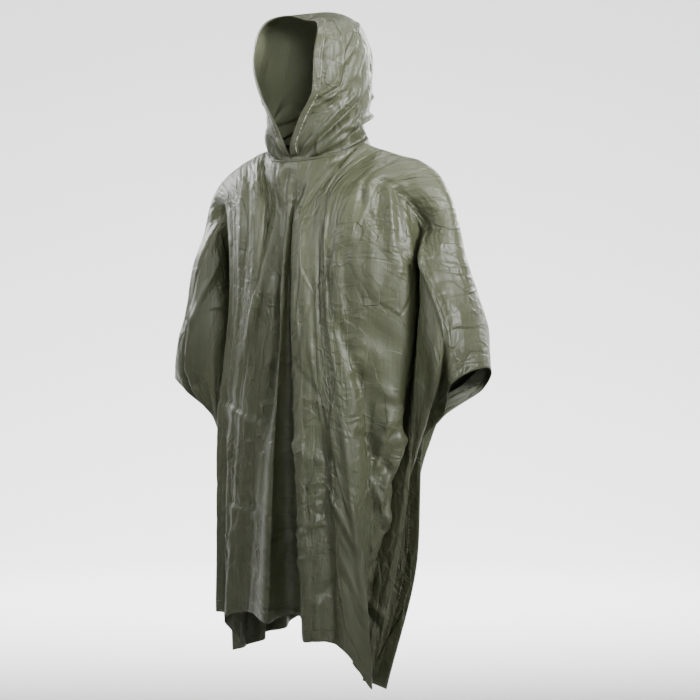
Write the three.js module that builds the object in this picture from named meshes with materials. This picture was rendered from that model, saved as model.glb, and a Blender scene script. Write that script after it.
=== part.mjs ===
import * as THREE from "three";

// Worn rain poncho: one vinyl sheet over the shoulders and arms, with a hood at its neck hole.
// The wearer faces -Y, their left hand is at +X, and the neck hole's centre is the origin.
// The two tables of folds and the hood's table are in centimetres.
const CM = 10;
const SHEET_WIDTH = 127 * CM;
const SHEET_HALF_LENGTH = 101.6 * CM;
const HALF_WIDTH = SHEET_WIDTH / 2;
const WALL = 2;
const SEAM_GAP = 0.3;
const LIP_SPACING = WALL + SEAM_GAP + 0.1;
const CASING_WIDTH = 17;
const CASING_WALL = 1;
const HOOD_CELLS = 18;

// The neck hole, tilted up at the nape and a little narrower on the wearer's right.
const NECK = { left: 11.2, right: 9.2, front: -12.4, back: 3.7, low: -3.4, high: 3.2 };
const NECK_SHARE = 0.17;
const LIP_SHARE = 0.965;
const RING_STEPS = 9;
const RING_STEP = NECK_SHARE / RING_STEPS;

// The fold line over shoulder and arm: cloth length from the neck hole, then x, y and z.
const ARM_LINE = [
  [0, 11.2, -4.35, -0.1],
  [5.9, 16.3, -1.6, -1.8],
  [11.2, 21.2, -0.2, -3.7],
  [15.5, 25.0, 0.3, -6.1],
  [19.5, 27.3, 0.4, -9.6],
  [30, 30.4, 0.3, -20],
  [40, 33.2, 0.1, -30],
  [52.8, 36.3, 0, -43.4],
];
const RIGHT_ARM_DROP = 1.8;
const RIGHT_NECK_TUCK = 2.0;

// Share of the sheet's length at which the yoke, chest, elbow, hip and hem columns lie.
const LEVELS = [0, 0.11, 0.2, 0.3, 0.62, 1];

// One row for each fold line: its share across the sheet, then its place at each level.
const line = (name, share, yoke, chest, elbow, hip, hem) => (
  { name, share, yoke, chest, elbow, hip, hem });

const FRONT_LINES = [
  line("edge_r", -1.0, [-30.2, -6.4, -48], [-26.6, 0.2, -54.4], [-24, 0.2, -58.9],
    [-24, 0.3], [-22, -1, -100.7]),
  line("lip_r", -0.965, [-30.6, -6.8, -46], [-24.8, 0.2, -52.6], [-22, 0.2, -57.6],
    [-21.9, 0.3], [-20, -1, -100.2]),
  line("sleeve_outer_r", -0.86, [-29.6, -6.4, -36], [-28, -7.6, -46.4], [-24.4, -4.2, -53.4],
    [-19.6, -1.5], [-19.2, -2.6, -98]),
  line("sleeve_inner_r", -0.69, [-24.5, -7.5, -21], [-23, -7.5, -30], [-21.6, -6.8, -38],
    [-21.9, -5.4], [-21.6, -4.6, -94]),
  line("armpit_r", -0.57, [-22, -4.5, -13], [-20.1, -1.5, -23], [-18.2, 0.5, -33],
    [-17.8, -5.2], [-17.6, -5.9, -92]),
  line("side_r", -0.44, [-18.5, -7.5, -10], [-17.2, -8.4, -19], [-16.8, -8.6, -28],
    [-19.8, -8], [-20, -8, -92]),
  line("breast_r", -0.32, [-14.5, -10, -8.6], [-11.6, -12.4, -17], [-11.2, -12.8, -26.6],
    [-16.4, -10.2], [-17.6, -9.8, -92]),
  line("ridge_r", -0.215, [-8, -12, -9.6], [-6.4, -14.5, -18], [-6.8, -15.2, -27.5],
    [-12.8, -12.6], [-16, -11.2, -92]),
  line("plane_r", -6 * RING_STEP, [-4.5, -12.2, -12.6], [-3.8, -14, -21], [-3.8, -14.9, -30],
    [-7.3, -13.8], [-10.4, -12, -91]),
  line("crease_r", -3 * RING_STEP, [-1.8, -12.6, -14], [-1.2, -14, -22.5], [-1, -14.6, -31.5],
    [-3.2, -14.9], [-6.5, -14.2, -91]),
  line("pleat", -RING_STEP, [0, -13.7, -14], [0.6, -15.5, -22.5], [0.8, -16.5, -31.5],
    [-0.3, -17.6], [-1.2, -18.4, -92.2]),
  line("pleat_hollow", RING_STEP, [1, -12.6, -14], [1.2, -14.2, -22.5], [1.4, -14.9, -31.5],
    [1.5, -14.5], [1.4, -13.4, -91]),
  line("pleat_l", 3 * RING_STEP, [2.2, -13.7, -14], [2.9, -15.7, -22.5], [3.2, -16.7, -31.9],
    [4.6, -18], [7, -19.2, -94.2]),
  line("front_l", 6 * RING_STEP, [4.7, -13.2, -12.6], [5.1, -15.5, -21.3], [5.5, -16.5, -30.5],
    [7.2, -17.6], [9.6, -18.6, -94.6]),
  line("breast_l", NECK_SHARE, [7.2, -12.4, -11], [7.4, -15, -20], [7.8, -16, -29],
    [9.9, -16.8], [12.2, -17.8, -94.7]),
  line("plane_l", 0.26, [10.2, -11.8, -9], [9.9, -14.7, -18.5], [10, -15.6, -28],
    [12.9, -16.2], [15.6, -15.8, -97.4]),
  line("ridge_l", 0.32, [13.5, -10.6, -8.4], [12.1, -14, -17.5], [12, -15, -27],
    [15.7, -14.7], [17.7, -11.8, -103.7]),
  line("hollow_l", 0.4, [17.2, -8.4, -8.6], [17.6, -10.6, -17.5], [17.4, -11.6, -27],
    [17, -10.8], [14.4, -10, -100.6]),
  line("side_l", 0.48, [20.4, -5.5, -11], [22.6, -6.8, -19.5], [23.2, -6.9, -29.5],
    [20.2, -7.4], [12, -9.2, -99.4]),
  line("armpit_l", 0.57, [23.4, -1.8, -16], [22.2, 0.6, -25], [21.4, 0.8, -34],
    [15.8, -5.4], [12.8, -8.2, -101.2]),
  line("sleeve_inner_l", 0.69, [25.4, -6.2, -22], [25.6, -6.3, -31.5], [24.4, -5.4, -40.5],
    [20.8, -4.4], [15.2, -6.9, -103.2]),
  line("sleeve_outer_l", 0.86, [31.8, -7.4, -36], [30, -7.4, -45.5], [26, -4.6, -52.4],
    [16.6, -1], [11.8, -5.2, -103.4]),
  line("lip_l", 0.965, [32.4, -7.2, -44.6], [24.6, 0.2, -51], [20.2, 0.2, -56.4],
    [18.5, 0.9], [14.6, -4.4, -104.2]),
  line("edge_l", 1.0, [32.6, -7, -46.4], [26.4, 0.2, -53], [22.2, 0.2, -57.8],
    [20.6, 0.9], [16.8, -4.4, -104.8]),
];

const BACK_LINES = [
  line("edge_r", -1.0, [-32, 7.5, -48.5], [-26.6, 0.2, -54.4], [-24, 0.2, -58.9],
    [-24, 0.3], [-22, -1, -100.7]),
  line("lip_r", -0.965, [-31.8, 7.8, -46.6], [-24.8, 0.2, -52.6], [-22, 0.2, -57.6],
    [-21.9, 0.3], [-20, -1, -100.2]),
  line("cuff_r", -0.86, [-31, 7.6, -36.5], [-28.4, 7.8, -45.6], [-25, 5, -53.4],
    [-22.4, 4.2], [-21.2, 2.8, -100]),
  line("tuck_r", -0.775, [-28, 7.2, -28.5], [-26.2, 7.6, -38], [-23.4, 5.4, -46],
    [-19.2, 5.4], [-18.4, 4.4, -99]),
  line("sleeve_r", -0.69, [-25, 6.6, -20.5], [-25, 8.4, -30], [-24, 8.2, -38.5],
    [-21.6, 8.4], [-20.2, 8, -98]),
  line("armpit_r", -0.57, [-22.8, 5.6, -14.5], [-21, 5.6, -24], [-19.8, 5.8, -33.5],
    [-16.8, 8.2], [-15.8, 8.4, -96.8]),
  line("side_r", -0.48, [-19.6, 6, -10], [-19.2, 8.6, -19], [-19.2, 9.6, -29],
    [-18.2, 12.2], [-16.4, 12.4, -95.4]),
  line("tuck_side_r", -0.4, [-15.8, 6, -7.8], [-15, 8.6, -17], [-14.8, 9.2, -27],
    [-13, 10.4], [-12, 11, -93.4]),
  line("blade_r", -0.32, [-11.8, 6.6, -6.8], [-11.6, 10.8, -15.6], [-11.8, 12.4, -25.4],
    [-12, 14.6], [-11.4, 16.4, -92]),
  line("tuck_blade_r", -0.215, [-8, 6.7, -6.8], [-7.6, 10.4, -15.2], [-7.6, 11.2, -25],
    [-7.2, 12], [-7, 13, -91]),
  line("spine_r", -5 * RING_STEP, [-4.2, 7.2, -7.2], [-4.2, 12, -15.2], [-4.4, 13.8, -24.8],
    [-4.8, 16.2], [-4.6, 18.4, -90]),
  line("spine_tuck", 0, [0, 6.8, -7.6], [0, 10.8, -15.2], [-0.2, 11.6, -24.8],
    [-0.4, 12.8], [-0.2, 14, -89.4]),
  line("spine_l", 5 * RING_STEP, [4.4, 7.2, -7.2], [4.6, 12, -15.2], [4.6, 13.7, -24.8],
    [4.4, 16.4], [4.4, 18.6, -89.2]),
  line("tuck_blade_l", 0.215, [8.8, 6.6, -6.8], [8.8, 10, -15.4], [8.8, 10.8, -25],
    [7.6, 12], [6.8, 13.4, -89.4]),
  line("blade_l", 0.32, [12.8, 6.4, -7.2], [13.2, 10.2, -16.2], [13.2, 11.6, -26],
    [11.4, 14.2], [9.8, 13.6, -90]),
  line("tuck_side_l", 0.4, [16.6, 6, -8.4], [16.6, 8, -17.6], [16.2, 8.6, -27.6],
    [11.8, 10], [8.8, 9, -91.4]),
  line("side_l", 0.48, [20.4, 6, -10.8], [20.6, 8, -20], [19.8, 8.6, -30],
    [14.6, 9.4], [11.6, 6.4, -93.8]),
  line("armpit_l", 0.57, [23.4, 5.8, -16], [22.4, 5.8, -25.6], [19.8, 5.2, -35],
    [12.8, 7], [9, 3, -96.4]),
  line("sleeve_l", 0.69, [26, 6.8, -22.6], [25.8, 8, -32], [23.2, 6.8, -40.6],
    [16.8, 6], [12, 1.1, -98.8]),
  line("tuck_l", 0.775, [29, 7.2, -30], [27.4, 7.6, -39.4], [23.4, 4.8, -47],
    [14.4, 4.4], [10.4, -1.1, -101]),
  line("cuff_l", 0.86, [31.6, 7.4, -38.4], [28.8, 6.8, -46.6], [23.4, 3.4, -53],
    [16.8, 2.8], [12.6, -3, -102.8]),
  line("lip_l", 0.965, [31.5, 8, -45.6], [24.6, 0.2, -51], [20.2, 0.2, -56.4],
    [18.5, 0.9], [14.6, -4.4, -104.2]),
  line("edge_l", 1.0, [31.5, 7.6, -47.4], [26.4, 0.2, -53], [22.2, 0.2, -57.8],
    [20.6, 0.9], [16.8, -4.4, -104.8]),
];

// One row for each height of the hood: its height share, the face edge, how much higher that edge
// is on the wearer's right and further out on the left, the middle seam, and both half widths.
const section = (share, rim, lift, gape, seam, left, right) =>
  ({ share, rim, lift, gape, seam, left, right });

const HOOD_SECTIONS = [
  section(0.0, [0.03, -12.08, -3.9], 0, 0, [3.38, 2.7], 10.88, 8.88),
  section(0.035, [0.03, -12.08, -3.15], 0, 0, [3.38, 3.45], 10.88, 8.88),
  section(0.1, [0.5, -13.6, -0.6], 0, 0.3, [5.2, 5.4], 10.9, 8.6),
  section(0.22, [2.5, -14.4, 4.4], 0, 1, [7.2, 8.6], 10.8, 8.4),
  section(0.36, [5.2, -14.8, 9.6], 0, 1.5, [8.2, 12.6], 11.1, 9.8),
  section(0.52, [6.8, -14.7, 15.2], 0.2, 0.1, [8.0, 17.2], 11.3, 10.8),
  section(0.68, [6.7, -13.4, 19.6], 1.0, 0, [5.6, 21.4], 10.9, 10.8),
  section(0.82, [5.4, -11.0, 22.0], 2.0, 0, [0.8, 24.7], 9.3, 9.4),
  section(0.93, [3.0, -8.2, 23.5], 1.5, 0, [-3.4, 26.0], 5.6, 5.6),
  section(1.0, [0.03, -6.2, 24.1], 0, 0, [-6.15, 24.15], 0.06, 0.06),
];

const smooth = (value) => {
  const share = Math.min(Math.max(value, 0), 1);
  return share * share * (3 - 2 * share);
};

const hermite = (from, to, leave, arrive, span, share) => {
  const square = share * share;
  const cube = square * share;
  return (2 * cube - 3 * square + 1) * from + (cube - 2 * square + share) * span * leave
    + (3 * square - 2 * cube) * to + (cube - square) * span * arrive;
};

// Slope at a knot between two spans: the free curve, or the one that never overshoots.
const freeSlope = (before, after, slopeBefore, slopeAfter) =>
  (slopeBefore * after + slopeAfter * before) / (before + after);
const steadySlope = (before, after, slopeBefore, slopeAfter) => (slopeBefore * slopeAfter <= 0
  ? 0
  : (2 * slopeBefore * slopeAfter) / (slopeBefore + slopeAfter));

const curveThrough = (knots, values, at, knotSlope, firstSlope) => {
  const last = knots.length - 1;
  const slopes = knots.slice(1)
    .map((knot, index) => (values[index + 1] - values[index]) / (knot - knots[index]));
  const slopeAt = (index) => {
    if (index === 0) return firstSlope === undefined ? slopes[0] : firstSlope;
    if (index === last) return slopes[last - 1];
    const before = knots[index] - knots[index - 1];
    const after = knots[index + 1] - knots[index];
    return knotSlope(before, after, slopes[index - 1], slopes[index]);
  };
  let cell = 0;
  while (cell < last - 1 && at > knots[cell + 1]) cell += 1;
  const span = knots[cell + 1] - knots[cell];
  const share = (at - knots[cell]) / span;
  return hermite(values[cell], values[cell + 1], slopeAt(cell), slopeAt(cell + 1), span, share);
};

const pointThrough = (knots, points, at, knotSlope, firstSlope) => [0, 1, 2].map((axis) => curveThrough(
  knots, points.map((point) => point[axis]), at, knotSlope, firstSlope ? firstSlope[axis] : undefined));

const ringPoint = (turn) => {
  const width = Math.sin(turn) > 0 ? NECK.left : NECK.right;
  const middle = (NECK.front + NECK.back) / 2;
  const depth = (NECK.back - NECK.front) / 2;
  const level = (NECK.low + NECK.high) / 2;
  const tilt = (NECK.high - NECK.low) / 2;
  return [width * Math.sin(turn), middle - depth * Math.cos(turn), level - tilt * Math.cos(turn)];
};

const ringTurn = (share, side) => {
  const turn = (Math.max(Math.min(share / NECK_SHARE, 1), -1) * Math.PI) / 2;
  return side < 0 ? turn : Math.PI - turn;
};

const armPoint = (share) => {
  const length = Math.max((Math.abs(share) - NECK_SHARE) * HALF_WIDTH / CM, 0);
  const lengths = ARM_LINE.map((row) => row[0]);
  const point = pointThrough(lengths, ARM_LINE.map((row) => row.slice(1)), length, freeSlope);
  if (share < 0) {
    point[2] -= RIGHT_ARM_DROP * Math.min(Math.max((length - 12) / 40, 0), 1) ** 2;
    point[0] -= RIGHT_NECK_TUCK * Math.max(1 - length / 8, 0) ** 2;
    point[0] = -point[0];
  }
  return point;
};

const topPoint = (share, side) => (Math.abs(share) < NECK_SHARE
  ? ringPoint(ringTurn(share, side))
  : armPoint(share));

// Direction in which the cloth leaves the top line: level off the arm, steeply down at the throat.
const topSlope = (share, side) => {
  const turn = (Math.max(Math.min(share / NECK_SHARE, 1), -1) * Math.PI) / 2;
  const level = smooth((Math.abs(share) - 0.06) / 0.18);
  const ring = [Math.sin(turn) * 30, side * Math.cos(turn) * 30, -75];
  const arm = [0, (side * SHEET_HALF_LENGTH) / CM, 0];
  return ring.map((value, axis) => value * (1 - level) + arm[axis] * level);
};

const foldLinePoint = (fold, side, down) => {
  const hipShare = (LEVELS[4] - LEVELS[3]) / (LEVELS[5] - LEVELS[3]);
  const hipHeight = fold.elbow[2] + (fold.hem[2] - fold.elbow[2]) * hipShare;
  const top = topPoint(fold.share, side);
  const points = [top, fold.yoke, fold.chest, fold.elbow, [...fold.hip, hipHeight], fold.hem];
  return pointThrough(LEVELS, points, down, steadySlope, topSlope(fold.share, side));
};

// The sheet's middle surface, from the share across (-1 to 1) and the share down (0 to 1).
const makeSheet = (folds, side) => {
  const knots = folds.map((fold) => fold.share);
  const across = (share, down) => {
    const points = folds.map((fold) => foldLinePoint(fold, side, down));
    const point = pointThrough(knots, points, share, freeSlope);
    const fade = (1 - Math.min(down / 0.12, 1)) ** 2;
    const tops = folds.map((fold) => topPoint(fold.share, side));
    const plain = pointThrough(knots, tops, share, freeSlope);
    const top = topPoint(share, side);
    return point.map((value, axis) => value + (top[axis] - plain[axis]) * fade);
  };
  return (share, down) => {
    const size = Math.abs(share);
    let point;
    if (size > LIP_SHARE) {
      const step = (size - LIP_SHARE) / (1 - LIP_SHARE);
      const inner = across(Math.sign(share) * LIP_SHARE, down);
      const outer = across(Math.sign(share), down);
      point = inner.map((value, axis) => value + (outer[axis] - value) * step);
    } else {
      point = across(share, down);
    }
    point = point.map((value) => value * CM);
    const seamShift = size >= NECK_SHARE ? (SEAM_GAP / 2) * (1 - smooth(down / 0.05)) : 0;
    const lipShift = (LIP_SPACING / 2) * smooth((size - 0.85) / 0.1) * smooth((down - 0.1) / 0.08);
    point[1] += side * (seamShift + lipShift);
    return point;
  };
};

const vector = (point) => new THREE.Vector3(point[0], point[1], point[2]);

// The top line's own normal, shared by both halves so that their end faces stay parallel.
const topNormal = (share, side) => {
  const turn = ringTurn(share, side);
  const ring = new THREE.Vector3(Math.sin(turn), -Math.cos(turn), 0).normalize();
  const step = 0.01 * Math.sign(share);
  const slope = vector(armPoint(share + (Math.abs(share) > 0.98 ? 0 : step)))
    .sub(vector(armPoint(share - (Math.abs(share) > 0.98 ? step : 0))));
  const arm = new THREE.Vector3(-slope.z, 0, slope.x).multiplyScalar(Math.sign(share) || 1).normalize();
  return ring.lerp(arm, smooth((Math.abs(share) - 0.12) / 0.05)).normalize();
};

const addGrid = (positions, indices, grid, flip) => {
  const start = positions.length / 3;
  grid.forEach((row) => row.forEach((point) => positions.push(point.x, point.y, point.z)));
  const width = grid[0].length;
  for (let row = 0; row < grid.length - 1; row += 1) {
    for (let column = 0; column < width - 1; column += 1) {
      const corner = start + row * width + column;
      const far = corner + width + 1;
      const [next, last] = flip ? [corner + width, corner + 1] : [corner + 1, corner + width];
      indices.push(corner, next, far, corner, far, last);
    }
  }
  return start;
};

// Directions that move a grid's points out to a face one wall away, longer at a sharp fold.
const LONGEST_MITRE = 2.4;
const gridNormals = (grid) => {
  const positions = [];
  const indices = [];
  addGrid(positions, indices, grid, true);
  const points = grid.flat();
  const facets = [];
  for (let start = 0; start < indices.length; start += 3) {
    const corners = indices.slice(start, start + 3);
    const [first, second, third] = corners.map((corner) => points[corner]);
    const normal = second.clone().sub(first).cross(third.clone().sub(first));
    facets.push({ corners, normal: normal.normalize() });
  }
  const around = points.map(() => []);
  facets.forEach((facet) => facet.corners.forEach((corner) => around[corner].push(facet)));
  const directions = around.map((near) => {
    const middle = near.reduce((sum, facet) => sum.add(facet.normal), new THREE.Vector3()).normalize();
    const least = Math.min(...near.map((facet) => facet.normal.dot(middle)));
    return middle.multiplyScalar(Math.min(1 / Math.max(least, 0.01), LONGEST_MITRE));
  });
  const width = grid[0].length;
  return grid.map((row, index) => directions.slice(index * width, (index + 1) * width));
};

const movedOut = (grid, normals, distance) => grid.map((row, index) => row
  .map((point, column) => point.clone().addScaledVector(normals[index][column], distance)));

// A closed wall between an outer and an inner grid of points.
const wallGeometry = (outer, inner) => {
  const positions = [];
  const indices = [];
  const rows = outer.length;
  const columns = outer[0].length;
  const outerStart = addGrid(positions, indices, outer, true);
  const innerStart = addGrid(positions, indices, inner, false);
  const rim = [];
  for (let column = 0; column < columns; column += 1) rim.push(column);
  for (let row = 1; row < rows; row += 1) rim.push(row * columns + columns - 1);
  for (let column = columns - 2; column >= 0; column -= 1) rim.push((rows - 1) * columns + column);
  for (let row = rows - 2; row > 0; row -= 1) rim.push(row * columns);
  rim.forEach((place, index) => {
    const next = rim[(index + 1) % rim.length];
    indices.push(outerStart + place, outerStart + next, innerStart + next);
    indices.push(outerStart + place, innerStart + next, innerStart + place);
  });
  const geometry = new THREE.BufferGeometry();
  geometry.setAttribute("position", new THREE.Float32BufferAttribute(positions, 3));
  geometry.setIndex(indices);
  geometry.computeVertexNormals();
  return geometry;
};

const spread = (count) => Array.from({ length: count + 1 }, (unused, index) => index / count);

// Shares across the sheet, the same for both halves so that their joined edges agree.
const SIDE_SHARES = [0.215, 0.26, 0.29, 0.32, 0.36, 0.4, 0.44, 0.48, 0.525, 0.57, 0.63, 0.69, 0.7325,
  0.775, 0.8175, 0.86, 0.9125, LIP_SHARE, 1];
const ACROSS_SHARES = [
  ...SIDE_SHARES.map((share) => -share).reverse(),
  ...Array.from({ length: 2 * RING_STEPS + 1 }, (unused, index) => (index - RING_STEPS) * RING_STEP),
  ...SIDE_SHARES,
];

const DOWN_SHARES = [0, 0.015, 0.035, 0.06, 0.085, 0.11, 0.14, 0.17, 0.2, 0.235, 0.27, 0.31, 0.36, 0.42,
  0.48, 0.54, 0.6, 0.67, 0.74, 0.81, 0.87, 0.93, 0.975, 1];

const sheetHalf = (folds, side) => {
  const surface = makeSheet(folds, side);
  const shares = side < 0 ? ACROSS_SHARES : [...ACROSS_SHARES].reverse();
  const middle = DOWN_SHARES.map((down) => shares.map((share) => vector(surface(share, down))));
  const normals = gridNormals(middle);
  normals.forEach((row, index) => row.forEach((normal, column) => {
    const size = Math.abs(shares[column]);
    if (size >= LIP_SHARE || (size <= NECK_SHARE && index < 3)) normal.normalize();
  }));
  normals[0] = shares.map((share) => topNormal(share, side));
  return wallGeometry(movedOut(middle, normals, WALL / 2), movedOut(middle, normals, -WALL / 2));
};

const hoodSection = (height, side) => {
  const knots = HOOD_SECTIONS.map((row) => row.share);
  const column = (pick) => curveThrough(knots, HOOD_SECTIONS.map(pick), height, steadySlope);
  const rimX = column((row) => row.rim[0] + (side > 0 ? row.gape : 0));
  const width = Math.max(column((row) => (side > 0 ? row.left : row.right)), rimX + 0.02);
  return {
    rimX,
    width,
    rimY: column((row) => row.rim[1]),
    rimZ: column((row) => row.rim[2]) + (side < 0 ? column((row) => row.lift) : 0),
    seamY: column((row) => row.seam[0]),
    seamZ: column((row) => row.seam[1]),
  };
};

// The hood's middle surface, from the share back from the face edge and the share up.
const makeHood = (side) => (back, height) => {
  const cut = hoodSection(height, side);
  const start = Math.asin(Math.min(cut.rimX / cut.width, 1));
  const turn = start + (Math.PI - start) * back;
  const share = (Math.cos(start) - Math.cos(turn)) / (1 + Math.cos(start));
  const sideways = Math.max(cut.width * Math.sin(turn), 0) * CM + SEAM_GAP / 2;
  return [
    side * sideways,
    (cut.rimY + (cut.seamY - cut.rimY) * share) * CM,
    (cut.rimZ + (cut.seamZ - cut.rimZ) * share) * CM,
  ];
};

const HOOD_HEIGHTS = [0, 0.035, 0.065, 0.1, 0.14, 0.18, 0.23, 0.29, 0.36, 0.43, 0.5, 0.57, 0.64, 0.7, 0.76,
  0.82, 0.87, 0.91, 0.945, 0.975];

// Shares back from the face edge at one height: the casing's width, then even steps to the seam.
const hoodShares = (surface, height) => {
  const along = spread(12).map((back) => vector(surface(back, height)));
  const length = along.slice(1).reduce((sum, point, index) => sum + point.distanceTo(along[index]), 0);
  const first = Math.min(CASING_WIDTH / length, 0.5);
  return [0, ...spread(HOOD_CELLS - 1).map((share) => first + (1 - first) * share)];
};

const hoodMiddle = (surface, side) => HOOD_HEIGHTS.map((height) => {
  const row = hoodShares(surface, height).map((back) => vector(surface(back, height)));
  return side > 0 ? row : row.reverse();
});

const hoodOuter = (side, distance) => {
  const middle = hoodMiddle(makeHood(side), side);
  const normals = gridNormals(middle);
  const seam = side > 0 ? HOOD_CELLS : 0;
  normals.forEach((row) => row[seam].setX(0).normalize());
  normals[0].forEach((normal) => normal.setZ(0).normalize());
  return movedOut(middle, normals, distance);
};

const hoodHalf = (side) => wallGeometry(hoodOuter(side, WALL / 2), hoodOuter(side, -WALL / 2));

// The turned face edge: a strip laid on the hood's own points, moved out from its face.
const hoodCasing = (side) => {
  const columns = side > 0 ? [0, 2] : [HOOD_CELLS - 1, HOOD_CELLS + 1];
  const face = hoodOuter(side, WALL / 2).slice(2).map((row) => row.slice(...columns));
  const normals = gridNormals(face);
  return wallGeometry(movedOut(face, normals, SEAM_GAP + CASING_WALL), movedOut(face, normals, SEAM_GAP));
};

const VINYL = { color: 0x5f614e, roughness: 0.42, metalness: 0 };
const CASING = { color: 0x676a55, roughness: 0.38, metalness: 0 };

const makePoncho = () => {
  const group = new THREE.Group();
  group.name = "rain_poncho";
  const add = (name, geometry, look) => {
    const mesh = new THREE.Mesh(geometry, new THREE.MeshStandardMaterial(look));
    mesh.name = name;
    group.add(mesh);
  };
  add("front_panel", sheetHalf(FRONT_LINES, -1), VINYL);
  add("back_panel", sheetHalf(BACK_LINES, 1), VINYL);
  add("hood_left", hoodHalf(1), VINYL);
  add("hood_right", hoodHalf(-1), VINYL);
  add("hood_casing_left", hoodCasing(1), CASING);
  add("hood_casing_right", hoodCasing(-1), CASING);
  return group;
};

export default makePoncho();
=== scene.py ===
import logging
import math
from dataclasses import dataclass
from enum import Enum
from functools import cache

import bmesh
import bpy
import numpy as np
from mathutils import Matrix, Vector, noise


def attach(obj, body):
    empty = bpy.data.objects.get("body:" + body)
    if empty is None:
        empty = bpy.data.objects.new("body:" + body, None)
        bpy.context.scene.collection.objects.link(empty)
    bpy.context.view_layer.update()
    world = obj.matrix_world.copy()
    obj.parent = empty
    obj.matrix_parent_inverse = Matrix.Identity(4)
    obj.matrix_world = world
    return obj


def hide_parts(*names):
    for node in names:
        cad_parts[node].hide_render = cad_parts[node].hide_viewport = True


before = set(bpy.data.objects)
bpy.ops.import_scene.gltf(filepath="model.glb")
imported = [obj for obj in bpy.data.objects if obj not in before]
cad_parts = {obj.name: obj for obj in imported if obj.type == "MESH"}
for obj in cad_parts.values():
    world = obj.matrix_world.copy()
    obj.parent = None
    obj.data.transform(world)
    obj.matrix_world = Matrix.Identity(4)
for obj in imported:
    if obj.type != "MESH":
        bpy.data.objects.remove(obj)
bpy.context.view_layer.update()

# The row's frame: the origin is the middle of the neck hole, the wearer faces -Y and their left
# hand is at +X. Sizes are in metres, but for the neck hole, the arm line, the fold lines and the
# hood's sections, which are in centimetres.
log = logging.getLogger("rain_poncho")
Array = np.ndarray
Point = tuple[float, float, float]
Place = tuple[float, float]
Colour = tuple[float, float, float]
Socket = bpy.types.NodeSocket

CM = 0.01
MM = 0.001
SHEET_HALF_WIDTH = 0.635
SHEET_HALF_LENGTH = 1.016
SHEET_SIZE = (SHEET_HALF_WIDTH, SHEET_HALF_LENGTH)
HOOD_SIZE = (0.34, 0.42)
FILM = 0.0008
STRIP_FILM = 0.0006
LAYER_GAP = 0.0003
HEM_WIDTH = 0.024
SEAM_WIDTH = 0.006
CASING_WELD = 0.013
# The colour of a painted highlight: pale dashes along the weld lines that stand in for glints of
# light on the welds.
WELD_HIGHLIGHT = (0.5, 0.5, 0.42)
UV_NAME = "cloth"

# The neck hole, in cm: half widths, front and back, and how high it is there. Then the share of
# the sheet's half width that it takes, and a ninth of that, by which the front's folds are set.
NECK_LEFT, NECK_RIGHT = 11.2, 9.2
NECK_FRONT, NECK_BACK = -12.4, 3.7
NECK_LOW, NECK_HIGH = -3.4, 3.2
NECK_SHARE = 0.17
RING_STEP = NECK_SHARE / 9
# Past this share the two halves of the sheet are welded face to face.
LIP_SHARE = 0.965
# The share of a crease's length over which it fades at each end, how round and how steep a sharp
# crest is, and how much further than its width a lap reaches.
CREASE_TAPER = 0.2
CREST_ROUND, CREST_FALL = 0.15, 1.7
LAP_REACH = 3
# How facets are read from the noise: the step to each one's own value, the value above which it
# stands up, and how steep its borders are. Then how far off the patches lie in the noise.
FACET_STEP, FACET_UP, FACET_EDGE = 7.3, -0.2, 3
PATCH_SEED = 20

# The fold line over shoulder and arm, in cm: cloth length from the neck hole, then x, y and z.
ARM_LINE = np.array([
    (0, 11.2, -4.35, -0.1),
    (5.9, 16.3, -1.6, -1.8),
    (11.2, 21.2, -0.2, -3.7),
    (15.5, 25.0, 0.3, -6.1),
    (19.5, 27.3, 0.4, -9.6),
    (30, 30.4, 0.3, -20),
    (40, 33.2, 0.1, -30),
    (52.8, 36.3, 0, -43.4),
])
# The right arm hangs lower by the drop, from its start on over its run, and its line starts
# further in by the tuck, which fades over its reach.
RIGHT_ARM_DROP = 1.8
RIGHT_DROP_START, RIGHT_DROP_RUN = 12, 40
RIGHT_NECK_TUCK = 2.0
RIGHT_TUCK_REACH = 8


class Face(Enum):
    """The half of the sheet that a panel is, as its sign along Y."""

    FRONT = -1
    BACK = 1


class Hand(Enum):
    """The wearer's side that a half of the hood is on, as its sign along X."""

    LEFT = 1
    RIGHT = -1


class Pass(Enum):
    """How a curve goes through its knots: freely, or without ever overshooting them."""

    FREE = "free"
    STEADY = "steady"


class Profile(Enum):
    """The cross-section of a crease."""

    SOFT = "soft"
    SHARP = "sharp"
    LAP = "lap"


SOFT, SHARP, LAP = Profile


class Weave(Enum):
    """How the folds of a field meet: softly, in sharp valleys, or in creases between facets."""

    SOFT = "soft"
    KEEN = "keen"
    FACET = "facet"


class Mark(Enum):
    """What is welded along a piece's edge: the sheet's hem, the hood's middle seam or a casing."""

    HEM = "hem"
    SEAM = "seam"
    CASING = "casing"


@dataclass(frozen=True)
class FoldLine:
    """One fold line of the sheet: which it is, its share across, and its place at each level."""

    name: str
    share: float
    yoke: Point
    chest: Point
    elbow: Point
    hip: Place
    hem: Point


@dataclass(frozen=True)
class HoodSection:
    """One height of the hood, in cm: its face edge, how much higher that is on the right and
    further out on the left, its middle seam, and its half widths."""

    share: float
    rim: Point
    lift: float
    gape: float
    seam: Place
    left: float
    right: float


@dataclass(frozen=True)
class Crease:
    """One crease of the film, from start to end on the flat cloth, in metres."""

    start: Place
    end: Place
    width: float
    lift: float
    bow: float
    profile: Profile


# Share of the sheet's length at which the yoke, chest, elbow, hip and hem columns lie.
LEVELS = np.array([0, 0.11, 0.2, 0.3, 0.62, 1])

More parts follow.
